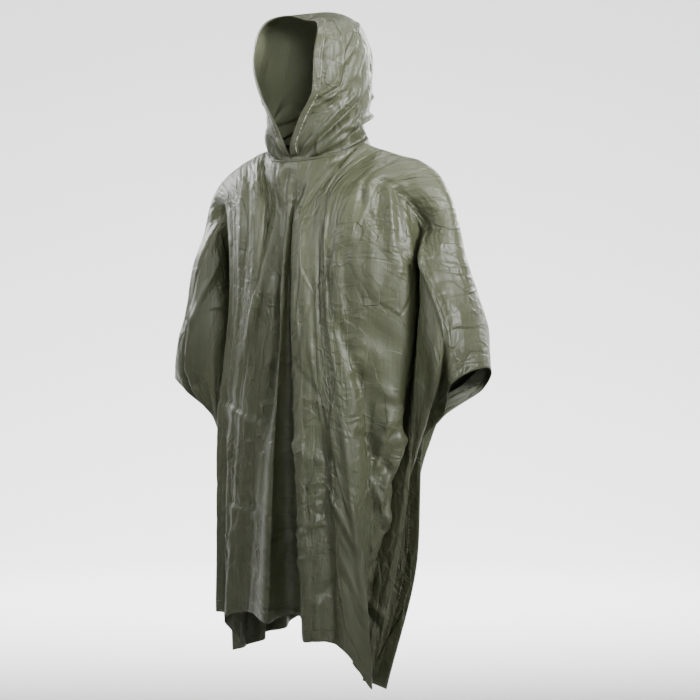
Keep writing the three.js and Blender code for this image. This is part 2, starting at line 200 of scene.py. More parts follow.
FRONT_LINES = (
    FoldLine("edge_r", -1.0, (-30.2, -6.4, -48), (-26.6, 0.2, -54.4), (-24, 0.2, -58.9),
             (-24, 0.3), (-22, -1, -100.7)),
    FoldLine("lip_r", -0.965, (-30.6, -6.8, -46), (-24.8, 0.2, -52.6), (-22, 0.2, -57.6),
             (-21.9, 0.3), (-20, -1, -100.2)),
    FoldLine("sleeve_outer_r", -0.86, (-29.6, -6.4, -36), (-28, -7.6, -46.4), (-24.4, -4.2, -53.4),
             (-19.6, -1.5), (-19.2, -2.6, -98)),
    FoldLine("sleeve_inner_r", -0.69, (-24.5, -7.5, -21), (-23, -7.5, -30), (-21.6, -6.8, -38),
             (-21.9, -5.4), (-21.6, -4.6, -94)),
    FoldLine("armpit_r", -0.57, (-22, -4.5, -13), (-20.1, -1.5, -23), (-18.2, 0.5, -33),
             (-17.8, -5.2), (-17.6, -5.9, -92)),
    FoldLine("side_r", -0.44, (-18.5, -7.5, -10), (-17.2, -8.4, -19), (-16.8, -8.6, -28),
             (-19.8, -8), (-20, -8, -92)),
    FoldLine("breast_r", -0.32, (-14.5, -10, -8.6), (-11.6, -12.4, -17), (-11.2, -12.8, -26.6),
             (-16.4, -10.2), (-17.6, -9.8, -92)),
    FoldLine("ridge_r", -0.215, (-8, -12, -9.6), (-6.4, -14.5, -18), (-6.8, -15.2, -27.5),
             (-12.8, -12.6), (-16, -11.2, -92)),
    FoldLine("plane_r", -6 * RING_STEP, (-4.5, -12.2, -12.6), (-3.8, -14, -21), (-3.8, -14.9, -30),
             (-7.3, -13.8), (-10.4, -12, -91)),
    FoldLine("crease_r", -3 * RING_STEP, (-1.8, -12.6, -14), (-1.2, -14, -22.5), (-1, -14.6, -31.5),
             (-3.2, -14.9), (-6.5, -14.2, -91)),
    FoldLine("pleat", -RING_STEP, (0, -13.7, -14), (0.6, -15.5, -22.5), (0.8, -16.5, -31.5),
             (-0.3, -17.6), (-1.2, -18.4, -92.2)),
    FoldLine("pleat_hollow", RING_STEP, (1, -12.6, -14), (1.2, -14.2, -22.5), (1.4, -14.9, -31.5),
             (1.5, -14.5), (1.4, -13.4, -91)),
    FoldLine("pleat_l", 3 * RING_STEP, (2.2, -13.7, -14), (2.9, -15.7, -22.5), (3.2, -16.7, -31.9),
             (4.6, -18), (7, -19.2, -94.2)),
    FoldLine("front_l", 6 * RING_STEP, (4.7, -13.2, -12.6), (5.1, -15.5, -21.3),
             (5.5, -16.5, -30.5), (7.2, -17.6), (9.6, -18.6, -94.6)),
    FoldLine("breast_l", NECK_SHARE, (7.2, -12.4, -11), (7.4, -15, -20), (7.8, -16, -29),
             (9.9, -16.8), (12.2, -17.8, -94.7)),
    FoldLine("plane_l", 0.26, (10.2, -11.8, -9), (9.9, -14.7, -18.5), (10, -15.6, -28),
             (12.9, -16.2), (15.6, -15.8, -97.4)),
    FoldLine("ridge_l", 0.32, (13.5, -10.6, -8.4), (12.1, -14, -17.5), (12, -15, -27),
             (15.7, -14.7), (17.7, -11.8, -103.7)),
    FoldLine("hollow_l", 0.4, (17.2, -8.4, -8.6), (17.6, -10.6, -17.5), (17.4, -11.6, -27),
             (17, -10.8), (14.4, -10, -100.6)),
    FoldLine("side_l", 0.48, (20.4, -5.5, -11), (22.6, -6.8, -19.5), (23.2, -6.9, -29.5),
             (20.2, -7.4), (12, -9.2, -99.4)),
    FoldLine("armpit_l", 0.57, (23.4, -1.8, -16), (22.2, 0.6, -25), (21.4, 0.8, -34),
             (15.8, -5.4), (12.8, -8.2, -101.2)),
    FoldLine("sleeve_inner_l", 0.69, (25.4, -6.2, -22), (25.6, -6.3, -31.5), (24.4, -5.4, -40.5),
             (20.8, -4.4), (15.2, -6.9, -103.2)),
    FoldLine("sleeve_outer_l", 0.86, (31.8, -7.4, -36), (30, -7.4, -45.5), (26, -4.6, -52.4),
             (16.6, -1), (11.8, -5.2, -103.4)),
    FoldLine("lip_l", 0.965, (32.4, -7.2, -44.6), (24.6, 0.2, -51), (20.2, 0.2, -56.4),
             (18.5, 0.9), (14.6, -4.4, -104.2)),
    FoldLine("edge_l", 1.0, (32.6, -7, -46.4), (26.4, 0.2, -53), (22.2, 0.2, -57.8),
             (20.6, 0.9), (16.8, -4.4, -104.8)),
)

BACK_LINES = (
    FoldLine("edge_r", -1.0, (-32, 7.5, -48.5), (-26.6, 0.2, -54.4), (-24, 0.2, -58.9),
             (-24, 0.3), (-22, -1, -100.7)),
    FoldLine("lip_r", -0.965, (-31.8, 7.8, -46.6), (-24.8, 0.2, -52.6), (-22, 0.2, -57.6),
             (-21.9, 0.3), (-20, -1, -100.2)),
    FoldLine("cuff_r", -0.86, (-31, 7.6, -36.5), (-28.4, 7.8, -45.6), (-25, 5, -53.4),
             (-22.4, 4.2), (-21.2, 2.8, -100)),
    FoldLine("tuck_r", -0.775, (-28, 7.2, -28.5), (-26.2, 7.6, -38), (-23.4, 5.4, -46),
             (-19.2, 5.4), (-18.4, 4.4, -99)),
    FoldLine("sleeve_r", -0.69, (-25, 6.6, -20.5), (-25, 8.4, -30), (-24, 8.2, -38.5),
             (-21.6, 8.4), (-20.2, 8, -98)),
    FoldLine("armpit_r", -0.57, (-22.8, 5.6, -14.5), (-21, 5.6, -24), (-19.8, 5.8, -33.5),
             (-16.8, 8.2), (-15.8, 8.4, -96.8)),
    FoldLine("side_r", -0.48, (-19.6, 6, -10), (-19.2, 8.6, -19), (-19.2, 9.6, -29),
             (-18.2, 12.2), (-16.4, 12.4, -95.4)),
    FoldLine("tuck_side_r", -0.4, (-15.8, 6, -7.8), (-15, 8.6, -17), (-14.8, 9.2, -27),
             (-13, 10.4), (-12, 11, -93.4)),
    FoldLine("blade_r", -0.32, (-11.8, 6.6, -6.8), (-11.6, 10.8, -15.6), (-11.8, 12.4, -25.4),
             (-12, 14.6), (-11.4, 16.4, -92)),
    FoldLine("tuck_blade_r", -0.215, (-8, 6.7, -6.8), (-7.6, 10.4, -15.2), (-7.6, 11.2, -25),
             (-7.2, 12), (-7, 13, -91)),
    FoldLine("spine_r", -5 * RING_STEP, (-4.2, 7.2, -7.2), (-4.2, 12, -15.2), (-4.4, 13.8, -24.8),
             (-4.8, 16.2), (-4.6, 18.4, -90)),
    FoldLine("spine_tuck", 0, (0, 6.8, -7.6), (0, 10.8, -15.2), (-0.2, 11.6, -24.8),
             (-0.4, 12.8), (-0.2, 14, -89.4)),
    FoldLine("spine_l", 5 * RING_STEP, (4.4, 7.2, -7.2), (4.6, 12, -15.2), (4.6, 13.7, -24.8),
             (4.4, 16.4), (4.4, 18.6, -89.2)),
    FoldLine("tuck_blade_l", 0.215, (8.8, 6.6, -6.8), (8.8, 10, -15.4), (8.8, 10.8, -25),
             (7.6, 12), (6.8, 13.4, -89.4)),
    FoldLine("blade_l", 0.32, (12.8, 6.4, -7.2), (13.2, 10.2, -16.2), (13.2, 11.6, -26),
             (11.4, 14.2), (9.8, 13.6, -90)),
    FoldLine("tuck_side_l", 0.4, (16.6, 6, -8.4), (16.6, 8, -17.6), (16.2, 8.6, -27.6),
             (11.8, 10), (8.8, 9, -91.4)),
    FoldLine("side_l", 0.48, (20.4, 6, -10.8), (20.6, 8, -20), (19.8, 8.6, -30),
             (14.6, 9.4), (11.6, 6.4, -93.8)),
    FoldLine("armpit_l", 0.57, (23.4, 5.8, -16), (22.4, 5.8, -25.6), (19.8, 5.2, -35),
             (12.8, 7), (9, 3, -96.4)),
    FoldLine("sleeve_l", 0.69, (26, 6.8, -22.6), (25.8, 8, -32), (23.2, 6.8, -40.6),
             (16.8, 6), (12, 1.1, -98.8)),
    FoldLine("tuck_l", 0.775, (29, 7.2, -30), (27.4, 7.6, -39.4), (23.4, 4.8, -47),
             (14.4, 4.4), (10.4, -1.1, -101)),
    FoldLine("cuff_l", 0.86, (31.6, 7.4, -38.4), (28.8, 6.8, -46.6), (23.4, 3.4, -53),
             (16.8, 2.8), (12.6, -3, -102.8)),
    FoldLine("lip_l", 0.965, (31.5, 8, -45.6), (24.6, 0.2, -51), (20.2, 0.2, -56.4),
             (18.5, 0.9), (14.6, -4.4, -104.2)),
    FoldLine("edge_l", 1.0, (31.5, 7.6, -47.4), (26.4, 0.2, -53), (22.2, 0.2, -57.8),
             (20.6, 0.9), (16.8, -4.4, -104.8)),
)

HOOD_SECTIONS = (
    HoodSection(0.0, (0.03, -12.08, -3.9), 0, 0, (3.38, 2.7), 10.88, 8.88),
    HoodSection(0.035, (0.03, -12.08, -3.15), 0, 0, (3.38, 3.45), 10.88, 8.88),
    HoodSection(0.1, (0.5, -13.6, -0.6), 0, 0.3, (5.2, 5.4), 10.9, 8.6),
    HoodSection(0.22, (2.5, -14.4, 4.4), 0, 1, (7.2, 8.6), 10.8, 8.4),
    HoodSection(0.36, (5.2, -14.8, 9.6), 0, 1.5, (8.2, 12.6), 11.1, 9.8),
    HoodSection(0.52, (6.8, -14.7, 15.2), 0.2, 0.1, (8.0, 17.2), 11.3, 10.8),
    HoodSection(0.68, (6.7, -13.4, 19.6), 1.0, 0, (5.6, 21.4), 10.9, 10.8),
    HoodSection(0.82, (5.4, -11.0, 22.0), 2.0, 0, (0.8, 24.7), 9.3, 9.4),
    HoodSection(0.93, (3.0, -8.2, 23.5), 1.5, 0, (-3.4, 26.0), 5.6, 5.6),
    HoodSection(1.0, (0.03, -6.2, 24.1), 0, 0, (-6.15, 24.15), 0.06, 0.06),
)


def laid(size: Place, start_x: float, start_y: float, end_x: float, end_y: float, width: float,
         lift: float, profile: Profile = SHARP, bow: float = 0.0) -> Crease:
    """Turn a row of the crease tables into a crease.

    Args:
        size: the piece's width and length, in metres.
        start_x: where the crease starts, as a share of that width.
        start_y: where it starts, as a share of that length.
        end_x: where it ends across.
        end_y: where it ends down.
        width: its half width, in millimetres.
        lift: how far it stands out, or sinks where it is negative, in millimetres.
        profile: its cross-section.
        bow: how far its middle lies to the side, in millimetres.

    Returns:
        The crease, in metres.
    """
    start = (start_x * size[0], start_y * size[1])
    end = (end_x * size[0], end_y * size[1])
    return Crease(start, end, width * MM, lift * MM, bow * MM, profile)


# A row's numbers are laid's arguments after the size. Shares across run from the wearer's right
# to their left, and shares down are negative on the back.
SHEET_CREASES = tuple(laid(SHEET_SIZE, *row) for row in (
    # The fold of the front's middle, and the broad bright fold that leaves the throat beside it.
    (-0.02, 0.03, -0.035, 0.36, 6, -4, LAP),
    (-0.045, 0.14, -0.085, 0.66, 8, -14),
    (-0.03, 0.02, -0.25, 0.5, 15, 8, SOFT),
    (-0.11, 0.05, -0.2, 0.34, 10, -5, SOFT),
    # The gathers that leave the throat and run out over the chest.
    (0.0, 0.008, -0.12, 0.1, 5, 4),
    (0.0, 0.012, -0.06, 0.13, 5, -5),
    (0.0, 0.006, -0.19, 0.055, 6, -4),
    (0.01, 0.006, 0.15, 0.03, 6, 5),
    (0.01, 0.01, 0.17, 0.06, 6, -4),
    (0.01, 0.012, 0.1, 0.1, 6, 4),
    (0.0, 0.01, 0.035, 0.14, 5, -4),
    # Broad folds that fall from the chest to the hem.
    (-0.07, 0.5, -0.075, 1.1, 16, 9, SOFT),
    (0.0, 0.45, 0.01, 1.1, 14, -10, SOFT),
    (0.09, 0.5, 0.1, 1.1, 18, 8, SOFT),
    (0.19, 0.5, 0.2, 1.1, 16, -9, SOFT),
    (-0.21, 0.3, -0.27, 1.1, 12, -7, SOFT),
    (-0.4, 0.45, -0.42, 1.1, 10, 6, SOFT),
    # The front on the wearer's right.
    (-0.19, 0.36, -0.23, 0.92, 10, -6, SOFT),
    (-0.3, 0.1, -0.34, 0.6, 12, 5, SOFT),
    (-0.4, 0.06, -0.39, 0.5, 8, -5, SOFT),
    (-0.24, 0.04, -0.3, 0.3, 7, -3),
    (-0.15, 0.4, -0.16, 0.98, 9, 5, SOFT),
    (-0.33, 0.55, -0.36, 1.02, 8, -5, SOFT),
    (-0.44, 0.55, -0.06, 0.575, 7, 5, LAP),
    (-0.3, 0.765, -0.05, 0.77, 7, 5, LAP),
    (-0.2, 0.7, -0.14, 0.78, 6, 2.5),
    (-0.19, 0.8, -0.13, 0.74, 5, -2.5),
    # The chest on the wearer's left: a long bright ridge with crinkles, then a smooth patch.
    (0.23, 0.1, 0.3, 0.52, 6, 5),
    (0.29, 0.46, 0.33, 1.03, 8, 6),
    (0.1, 0.1, 0.16, 0.5, 14, 5, SOFT),
    (0.2, 0.15, 0.21, 0.4, 8, -5, SOFT),
    (0.215, 0.1, 0.25, 0.14, 5, 2.5),
    (0.24, 0.13, 0.27, 0.19, 5, -2.5),
    (0.25, 0.2, 0.29, 0.235, 5, 2.5),
    (0.26, 0.25, 0.3, 0.34, 5, -2.5),
    (0.31, 0.24, 0.28, 0.31, 5, 2.5),
    (0.25, 0.29, 0.32, 0.3, 5, -2),
    (0.31, 0.02, 0.38, 0.17, 8, -6),
    (0.19, 0.0, 0.35, 0.1, 9, -5, LAP),
    # The broken folds below the shoulder on the wearer's left.
    (0.375, 0.06, 0.385, 0.22, 6, 5),
    (0.41, 0.07, 0.415, 0.17, 6, -6),
    (0.44, 0.055, 0.445, 0.26, 6, 6),
    (0.47, 0.08, 0.465, 0.22, 6, -6),
    (0.495, 0.06, 0.49, 0.26, 6, 5),
    (0.33, 0.112, 0.39, 0.13, 6, 6),
    (0.36, 0.12, 0.43, 0.21, 6, -6, SHARP, 8),
    (0.4, 0.17, 0.41, 0.34, 9, 6, SOFT),
    (0.34, 0.22, 0.36, 0.42, 9, -5, SOFT),
    (0.475, 0.225, 0.39, 0.4, 5, 5),
    (0.455, 0.21, 0.5, 0.26, 6, -4),
    # The dark pocket under the chest and the valley that runs down from it.
    (0.32, 0.36, 0.38, 0.5, 10, -9, SOFT),
    (0.37, 0.44, 0.41, 0.64, 12, -9, SOFT),
    (0.41, 0.4, 0.46, 0.58, 14, 7, SOFT),
    (0.33, 0.4, 0.4, 0.42, 5, 3),
    (0.33, 0.44, 0.39, 0.4, 5, -3),
    (0.34, 0.47, 0.38, 0.43, 5, 3),
    (0.4, 0.48, 0.5, 0.52, 6, 4),
    (0.42, 0.52, 0.5, 0.5, 6, -4),
    # The fan of crinkles over the belly.
    (0.17, 0.29, 0.03, 0.5, 5, -3),
    (0.06, 0.41, 0.21, 0.54, 5, -3),
    (0.13, 0.34, 0.09, 0.52, 5, 3),
    (0.14, 0.38, 0.2, 0.62, 5, 3),
    (0.11, 0.42, 0.01, 0.46, 5, 2.5),
    (0.08, 0.3, 0.12, 0.44, 5, 2.5),
    (0.02, 0.53, 0.1, 0.5, 5, 2.5),
    # Large facets where the film was folded, and the crumples under them.
    (0.45, 0.53, 0.42, 0.65, 9, 11),
    (0.39, 0.59, 0.51, 0.67, 8, -10),
    (0.51, 0.54, 0.43, 0.72, 9, 10),
    (0.33, 0.56, 0.45, 0.6, 8, -7),
    (0.39, 0.65, 0.51, 0.76, 8, 9),
    (0.46, 0.63, 0.47, 0.8, 6, -5),
    (0.36, 0.68, 0.44, 0.66, 6, 5),
    (0.02, 0.79, 0.18, 0.755, 7, 5),
    (0.02, 0.58, 0.22, 0.66, 13, 5),
    (0.06, 0.68, 0.28, 0.62, 11, -4.5),
    (0.02, 0.86, 0.16, 0.79, 12, 4.5),
    (0.12, 0.92, 0.28, 0.84, 12, -5),
    (0.2, 0.7, 0.34, 0.78, 12, 5),
    (-0.34, 0.6, -0.2, 0.72, 11, 4),
    (-0.3, 0.88, -0.14, 0.8, 11, 4.5),
    (0.42, 0.6, 0.6, 0.52, 13, 8),
    (0.44, 0.74, 0.64, 0.64, 13, 8),
    (0.4, 0.84, 0.6, 0.74, 12, -7),
    # The deep gathers under the throat, and the ridge beside the front's fold.
    (0.0, 0.0, -0.045, 0.2, 6, -12),
    (-0.03, 0.0, -0.07, 0.12, 6, -7),
    (0.03, 0.0, 0.055, 0.1, 6, -7),
    (-0.075, 0.22, -0.11, 0.6, 9, 7),
    # Fine crumples over the lower front.
    (0.03, 0.6, 0.17, 0.565, 4.5, 2.6),
    (0.01, 0.655, 0.15, 0.69, 4.5, 2.6),
    (0.05, 0.7, 0.24, 0.665, 5, 2.8),
    (0.16, 0.6, 0.3, 0.655, 4.5, -2.4),
    (0.04, 0.745, 0.16, 0.775, 4, 2.4),
    (0.05, 0.83, 0.21, 0.81, 4.5, 2.8),
    (0.03, 0.875, 0.17, 0.845, 4, -2.2),
    (0.2, 0.74, 0.3, 0.8, 4.5, 2.6),
    (0.22, 0.84, 0.32, 0.9, 4.5, 2.6),
    (0.06, 0.91, 0.2, 0.935, 4, 2.2),
    (-0.32, 0.62, -0.16, 0.645, 4, 2.2),
    (-0.3, 0.69, -0.1, 0.675, 4, 2.4),
    (-0.34, 0.84, -0.18, 0.82, 4, 2.4),
    (-0.14, 0.72, -0.05, 0.76, 4.5, 2.6),
    (-0.13, 0.62, -0.06, 0.655, 4.5, 2.4),
    (-0.2, 0.9, -0.06, 0.885, 4, 2.2),
    # The crumples on the wearer's left, down to the hem.
    (0.4, 0.78, 0.58, 0.83, 6, 4),
    (0.44, 0.86, 0.6, 0.82, 6, -4),
    (0.5, 0.74, 0.62, 0.79, 6, 5),
    (0.36, 0.7, 0.44, 0.8, 6, 4.5),
    # The crumples beside the front's fold, down to the hem.
    (0.1, 0.5, 0.24, 0.54, 4.5, 2.4),
    (0.24, 0.52, 0.12, 0.6, 4.5, 2.4),
    (0.04, 0.805, 0.13, 0.8, 5, 3.5),
    (0.18, 0.68, 0.13, 0.84, 6, -4),
    (0.15, 0.76, 0.22, 0.84, 6, -4),
    (0.19, 0.685, 0.24, 0.73, 6, 5),
    (0.25, 0.81, 0.34, 0.89, 6, 4.5),
    (0.23, 0.83, 0.31, 0.91, 5, -3.5),
    (0.15, 0.9, 0.15, 1.04, 6, 5, LAP),
    (0.02, 0.62, 0.18, 0.64, 6, 2.5),
    (0.03, 0.7, 0.2, 0.69, 6, -2.5),
    # The waves above the hem on the wearer's left.
    (0.5, 0.84, 0.72, 0.86, 9, 5, SHARP, 8),
    (0.5, 0.88, 0.7, 0.9, 9, -5, SHARP, -7),
    (0.5, 0.92, 0.68, 0.935, 8, 4, SHARP, 6),
    # The sleeves: long folds down the arm, and crumples above the cuffs.
    (0.35, 0.045, 1.0, 0.055, 9, 4, SOFT),
    (0.4, 0.085, 0.96, 0.095, 8, -4, SOFT),
    (0.48, 0.125, 0.94, 0.13, 8, 4, SOFT),
    (0.79, 0.085, 0.87, 0.035, 6, 4),
    (0.74, 0.03, 0.78, 0.11, 6, -3.5),
    (0.68, 0.06, 0.72, 0.15, 6, 3.5),
    (0.86, 0.06, 0.97, 0.09, 6, -3.5),
    (-0.38, 0.05, -0.95, 0.075, 9, 4, SOFT),
    (-0.48, 0.1, -0.95, 0.13, 8, -5, SOFT),
    (-0.6, 0.16, -0.92, 0.2, 9, 5, SOFT),
    (-0.85, 0.08, -0.74, 0.2, 7, 5),
    (-0.9, 0.14, -0.8, 0.28, 7, -5),
    (-0.78, 0.14, -0.9, 0.17, 6, 4),
    # The back: the same kinds of creases, lighter between the shoulder blades.
    (-0.18, -0.05, -0.26, -0.6, 13, 6, SOFT),
    (0.14, -0.05, 0.2, -0.56, 11, -6, SOFT),
    (0.06, -0.3, 0.02, -0.95, 9, 5, SOFT),
    (-0.08, -0.2, -0.1, -0.8, 8, -5, SOFT),
    (0.3, -0.1, 0.27, -0.5, 8, 5),
    (-0.33, -0.38, 0.12, -0.39, 6, 3, LAP),
    (-0.12, -0.58, 0.36, -0.57, 6, 3, LAP),
    (-0.36, -0.765, 0.02, -0.77, 6, 3, LAP),
    (0.29, -0.48, 0.41, -0.6, 8, 7),
    (0.4, -0.52, 0.3, -0.62, 7, -6),
    (-0.42, -0.55, -0.3, -0.67, 8, -7),
    (-0.46, -0.62, -0.33, -0.62, 7, 5),
    (0.05, -0.03, 0.17, -0.22, 7, 4),
    (-0.05, -0.03, -0.14, -0.2, 7, -4),
    (0.02, -0.68, 0.16, -0.74, 6, 4),
    (-0.22, -0.84, -0.08, -0.88, 6, 4),
    (0.45, -0.8, 0.62, -0.84, 9, 5, SHARP, 7),
    (-0.62, -0.8, -0.45, -0.83, 9, 5, SHARP, -7),
    (0.5, -0.06, 0.95, -0.09, 9, 4, SOFT),
    (-0.5, -0.07, -0.95, -0.1, 9, -4, SOFT),
    (0.82, -0.08, 0.9, -0.16, 6, 4),
    (-0.72, -0.12, -0.84, -0.06, 6, -4),
))

# Shares run back from the face edge to the middle seam, and up from the neck.
HOOD_CREASES = tuple(laid(HOOD_SIZE, *row) for row in (
    # The gathers that fan out from the throat.
    (0.03, 0.0, 0.62, 0.42, 8, -8),
    (0.08, 0.0, 0.56, 0.3, 9, 7, SOFT),
    (0.02, 0.01, 0.24, 0.26, 6, -4),
    (0.02, 0.02, 0.38, 0.36, 8, 4, SOFT),
    (0.0, 0.02, 0.14, 0.14, 5, -3.5),
    (0.0, 0.04, 0.1, 0.2, 5, 3),
    (0.05, -0.01, 0.66, 0.075, 7, 8),
    (0.08, 0.015, 0.42, 0.05, 5, -5),
    (0.1, 0.03, 0.5, 0.13, 6, 4),
    # The roll at the nape with the hollow under it.
    (0.3, 0.13, 0.8, 0.17, 8, 10),
    (0.34, 0.085, 0.78, 0.11, 11, -16, SOFT),
    (0.6, 0.22, 0.9, 0.14, 8, -6, SOFT),
    (0.55, 0.3, 0.85, 0.25, 8, 5, SOFT),
    # The arched crease over the cheek, and the smooth swell above it.
    (0.02, 0.275, 0.21, 0.37, 5, -5),
    (0.19, 0.34, 0.24, 0.5, 5, -4),
    (0.04, 0.26, 0.19, 0.335, 5, 3),
    (0.1, 0.33, 0.1, 0.74, 24, 5, SOFT),
    (0.18, 0.46, 0.35, 0.66, 5, 3),
    (0.22, 0.4, 0.3, 0.56, 6, -3),
    (0.3, 0.38, 0.42, 0.62, 8, 4, SOFT),
    (0.5, 0.4, 0.6, 0.7, 8, -4, SOFT),
    (0.24, 0.7, 0.6, 0.8, 8, 3, SOFT),
))


def smooth(value: Array | float) -> Array:
    """Return the soft step of each value, 0 below 0 and 1 above 1."""
    share = np.clip(value, 0.0, 1.0)
    return share * share * (3.0 - 2.0 * share)


def knot_slopes(knots: Array, values: Array, way: Pass, first: Array | None) -> Array:
    """Work out a curve's slope at each of its knots.

    Args:
        knots: the knots, rising.
        values: one value, or block of values, for each knot.
        way: how the curve goes through its knots.
        first: the slope at the first knot, where it is given.

    Returns:
        The slopes, in the shape of values.
    """
    spans = np.diff(knots).reshape((-1,) + (1,) * (values.ndim - 1))
    secants = np.diff(values, axis=0) / spans
    before, after = secants[:-1], secants[1:]
    if way is Pass.FREE:
        inner = (before * spans[1:] + after * spans[:-1]) / (spans[1:] + spans[:-1])
    else:
        agree = before * after > 0
        inner = np.where(agree, 2 * before * after / np.where(agree, before + after, 1.0), 0.0)
    start = secants[:1] if first is None else np.asarray(first, float)[None]
    return np.concatenate([start, inner, secants[-1:]])


def curve_through(
    knots: Array, values: Array, at: Array, way: Pass, first: Array | None = None
) -> Array:
    """Read a smooth curve through knots at many places at once.

    Args:
        knots: the knots, rising.
        values: one value, or block of values, for each knot.
        at: the places to read.
        way: how the curve goes through its knots.
        first: the slope at the first knot, where it is given.

    Returns:
        One value, or block of values, for each place.
    """
    values = np.asarray(values, float)
    slopes = knot_slopes(knots, values, way, first)
    cell = np.clip(np.searchsorted(knots, at, side="right") - 1, 0, len(knots) - 2)
    shape = (-1,) + (1,) * (values.ndim - 1)
    span = (knots[cell + 1] - knots[cell]).reshape(shape)
    share = (at - knots[cell]).reshape(shape) / span
    square, cube = share * share, share ** 3
    return (
        (2 * cube - 3 * square + 1) * values[cell]
        + (cube - 2 * square + share) * span * slopes[cell]
        + (3 * square - 2 * cube) * values[cell + 1]
        + (cube - square) * span * slopes[cell + 1]
    )


def ring_point(turn: Array) -> Array:
    """Place points round the neck hole.

    Args:
        turn: turns from the throat round to the nape, in radians, negative on the right.

    Returns:
        One point for each turn, in cm.
    """
    width = np.where(np.sin(turn) > 0, NECK_LEFT, NECK_RIGHT)
    middle, depth = (NECK_FRONT + NECK_BACK) / 2, (NECK_BACK - NECK_FRONT) / 2
    level, tilt = (NECK_LOW + NECK_HIGH) / 2, (NECK_HIGH - NECK_LOW) / 2
    return np.stack(
        [width * np.sin(turn), middle - depth * np.cos(turn), level - tilt * np.cos(turn)], -1
    )


def arm_point(share: Array) -> Array:
    """Place points on the fold line over shoulder and arm, which hangs lower on the right.

    Args:
        share: shares of the sheet's half width.

    Returns:
        One point for each share, in cm.
    """
    length = np.maximum((np.abs(share) - NECK_SHARE) * SHEET_HALF_WIDTH / CM, 0)
    point = curve_through(ARM_LINE[:, 0], ARM_LINE[:, 1:], length, Pass.FREE)
    right = share < 0
    hang = np.clip((length - RIGHT_DROP_START) / RIGHT_DROP_RUN, 0, 1)
    point[:, 2] -= right * RIGHT_ARM_DROP * hang ** 2
    point[:, 0] -= right * RIGHT_NECK_TUCK * np.maximum(1 - length / RIGHT_TUCK_REACH, 0) ** 2
    point[:, 0] *= np.where(right, -1, 1)
    return point


def grid_normals(points: Array) -> Array:
    """Return the outward unit normals of a grid of points whose rows go down and columns across."""
    normal = np.cross(np.gradient(points, axis=0), np.gradient(points, axis=1))
    return normal / np.maximum(np.linalg.norm(normal, axis=-1, keepdims=True), 1e-12)


def crease_height(crease: Crease, across: Array, down: Array) -> Array:
    """Work out how far one crease lifts each place of the cloth.

    Args:
        crease: the crease.
        across: the places' distances across the cloth.
        down: the places' distances down the cloth.

    Returns:
        The lift at each place, in metres.
    """
    run = (crease.end[0] - crease.start[0], crease.end[1] - crease.start[1])
    length = math.hypot(*run)
    from_start = (across - crease.start[0], down - crease.start[1])
    share = (from_start[0] * run[0] + from_start[1] * run[1]) / length ** 2
    bow = crease.bow * 4 * share * (1 - share)
    aside = (from_start[1] * run[0] - from_start[0] * run[1]) / length - bow
    taper = smooth(share / CREASE_TAPER) * smooth((1 - share) / CREASE_TAPER)
    reach = np.abs(aside) / crease.width
    if crease.profile is SOFT:
        shape = np.exp(-reach ** 2)
    elif crease.profile is SHARP:
        crest = np.sqrt(reach ** 2 + CREST_ROUND) - math.sqrt(CREST_ROUND)
        shape = np.exp(-CREST_FALL * crest)
    else:
        shape = np.tanh(aside / crease.width) * np.exp(-(reach / LAP_REACH) ** 2)
    return crease.lift * taper * shape


def noise_at(x: Array, y: Array, seed: float) -> Array:
    """Return smooth noise, about -1 to 1, at each place."""
    values = (noise.noise((a, b, seed)) for a, b in zip(x.ravel(), y.ravel()))
    return np.fromiter(values, float, x.size).reshape(x.shape)


def facet_at(x: Array, y: Array, seed: float) -> Array:
    """Work out flat-topped facets, up and down, whose borders are straight creases.

    Args:
        x: the places across, in facets.
        y: the places down, in facets.
        seed: where in the noise the facets are taken from.

    Returns:
        The height at each place, -1 to 1.
    """
    values = []
    for a, b in zip(x.ravel(), y.ravel()):
        away, cores = noise.voronoi((a, b, seed))
        side = 1.0 if noise.cell(cores[0] * FACET_STEP) > FACET_UP else -1.0
        values.append(side * (1 - math.exp(-FACET_EDGE * (away[1] - away[0]))))
    return np.array(values).reshape(x.shape)


@dataclass(frozen=True)
class Rumple:
    """A field of small folds over a whole piece, the same on every run.

    Attributes:
        seed: where in the noise the field lies.
        across: the size of a fold across the cloth, in metres.
        down: its size down the cloth.
        lift: how far it stands out.
        turn: how far the folds lean, in radians.
        weave: how the folds meet.
        patch: the size of the patches that the folds keep to, or 0 where they lie everywhere.
    """

    seed: float
    across: float
    down: float
    lift: float
    turn: float = 0.0
    weave: Weave = Weave.SOFT
    patch: float = 0.0

    def height(self, across: Array, down: Array) -> Array:
        """Work out the field's lift.

        Args:
            across: the places' distances across the cloth.
            down: the places' distances down the cloth.

        Returns:
            The lift at each place, in metres.
        """
        sine, cosine = math.sin(self.turn), math.cos(self.turn)
        x = (across * cosine + down * sine) / self.across
        y = (down * cosine - across * sine) / self.down
        lift = (facet_at if self.weave is Weave.FACET else noise_at)(x, y, self.seed)
        if self.weave is Weave.KEEN:
            lift = 0.5 - 2 * np.abs(lift)
        if self.patch:
            cover = noise_at(across / self.patch, down / self.patch, self.seed + PATCH_SEED)
            lift *= smooth((cover + 0.2) / 0.4)
        return lift * self.lift


SHEET_RUMPLES = (
    Rumple(1.3, 0.07, 0.7, 0.006),
    Rumple(2.7, 0.032, 0.5, 0.0026, 0.04),
    Rumple(3.9, 0.11, 0.9, 0.006, 0.03, Weave.KEEN),
    Rumple(4.1, 0.11, 0.3, 0.0012, 0.3, Weave.FACET),
    Rumple(6.5, 0.05, 0.09, 0.0013, -0.45, Weave.FACET, 0.2),
)
HOOD_RUMPLES = (
    Rumple(3.3, 0.05, 0.16, 0.0018, -0.7),
    Rumple(5.2, 0.035, 0.07, 0.0013, -0.7, Weave.FACET, 0.14),
)


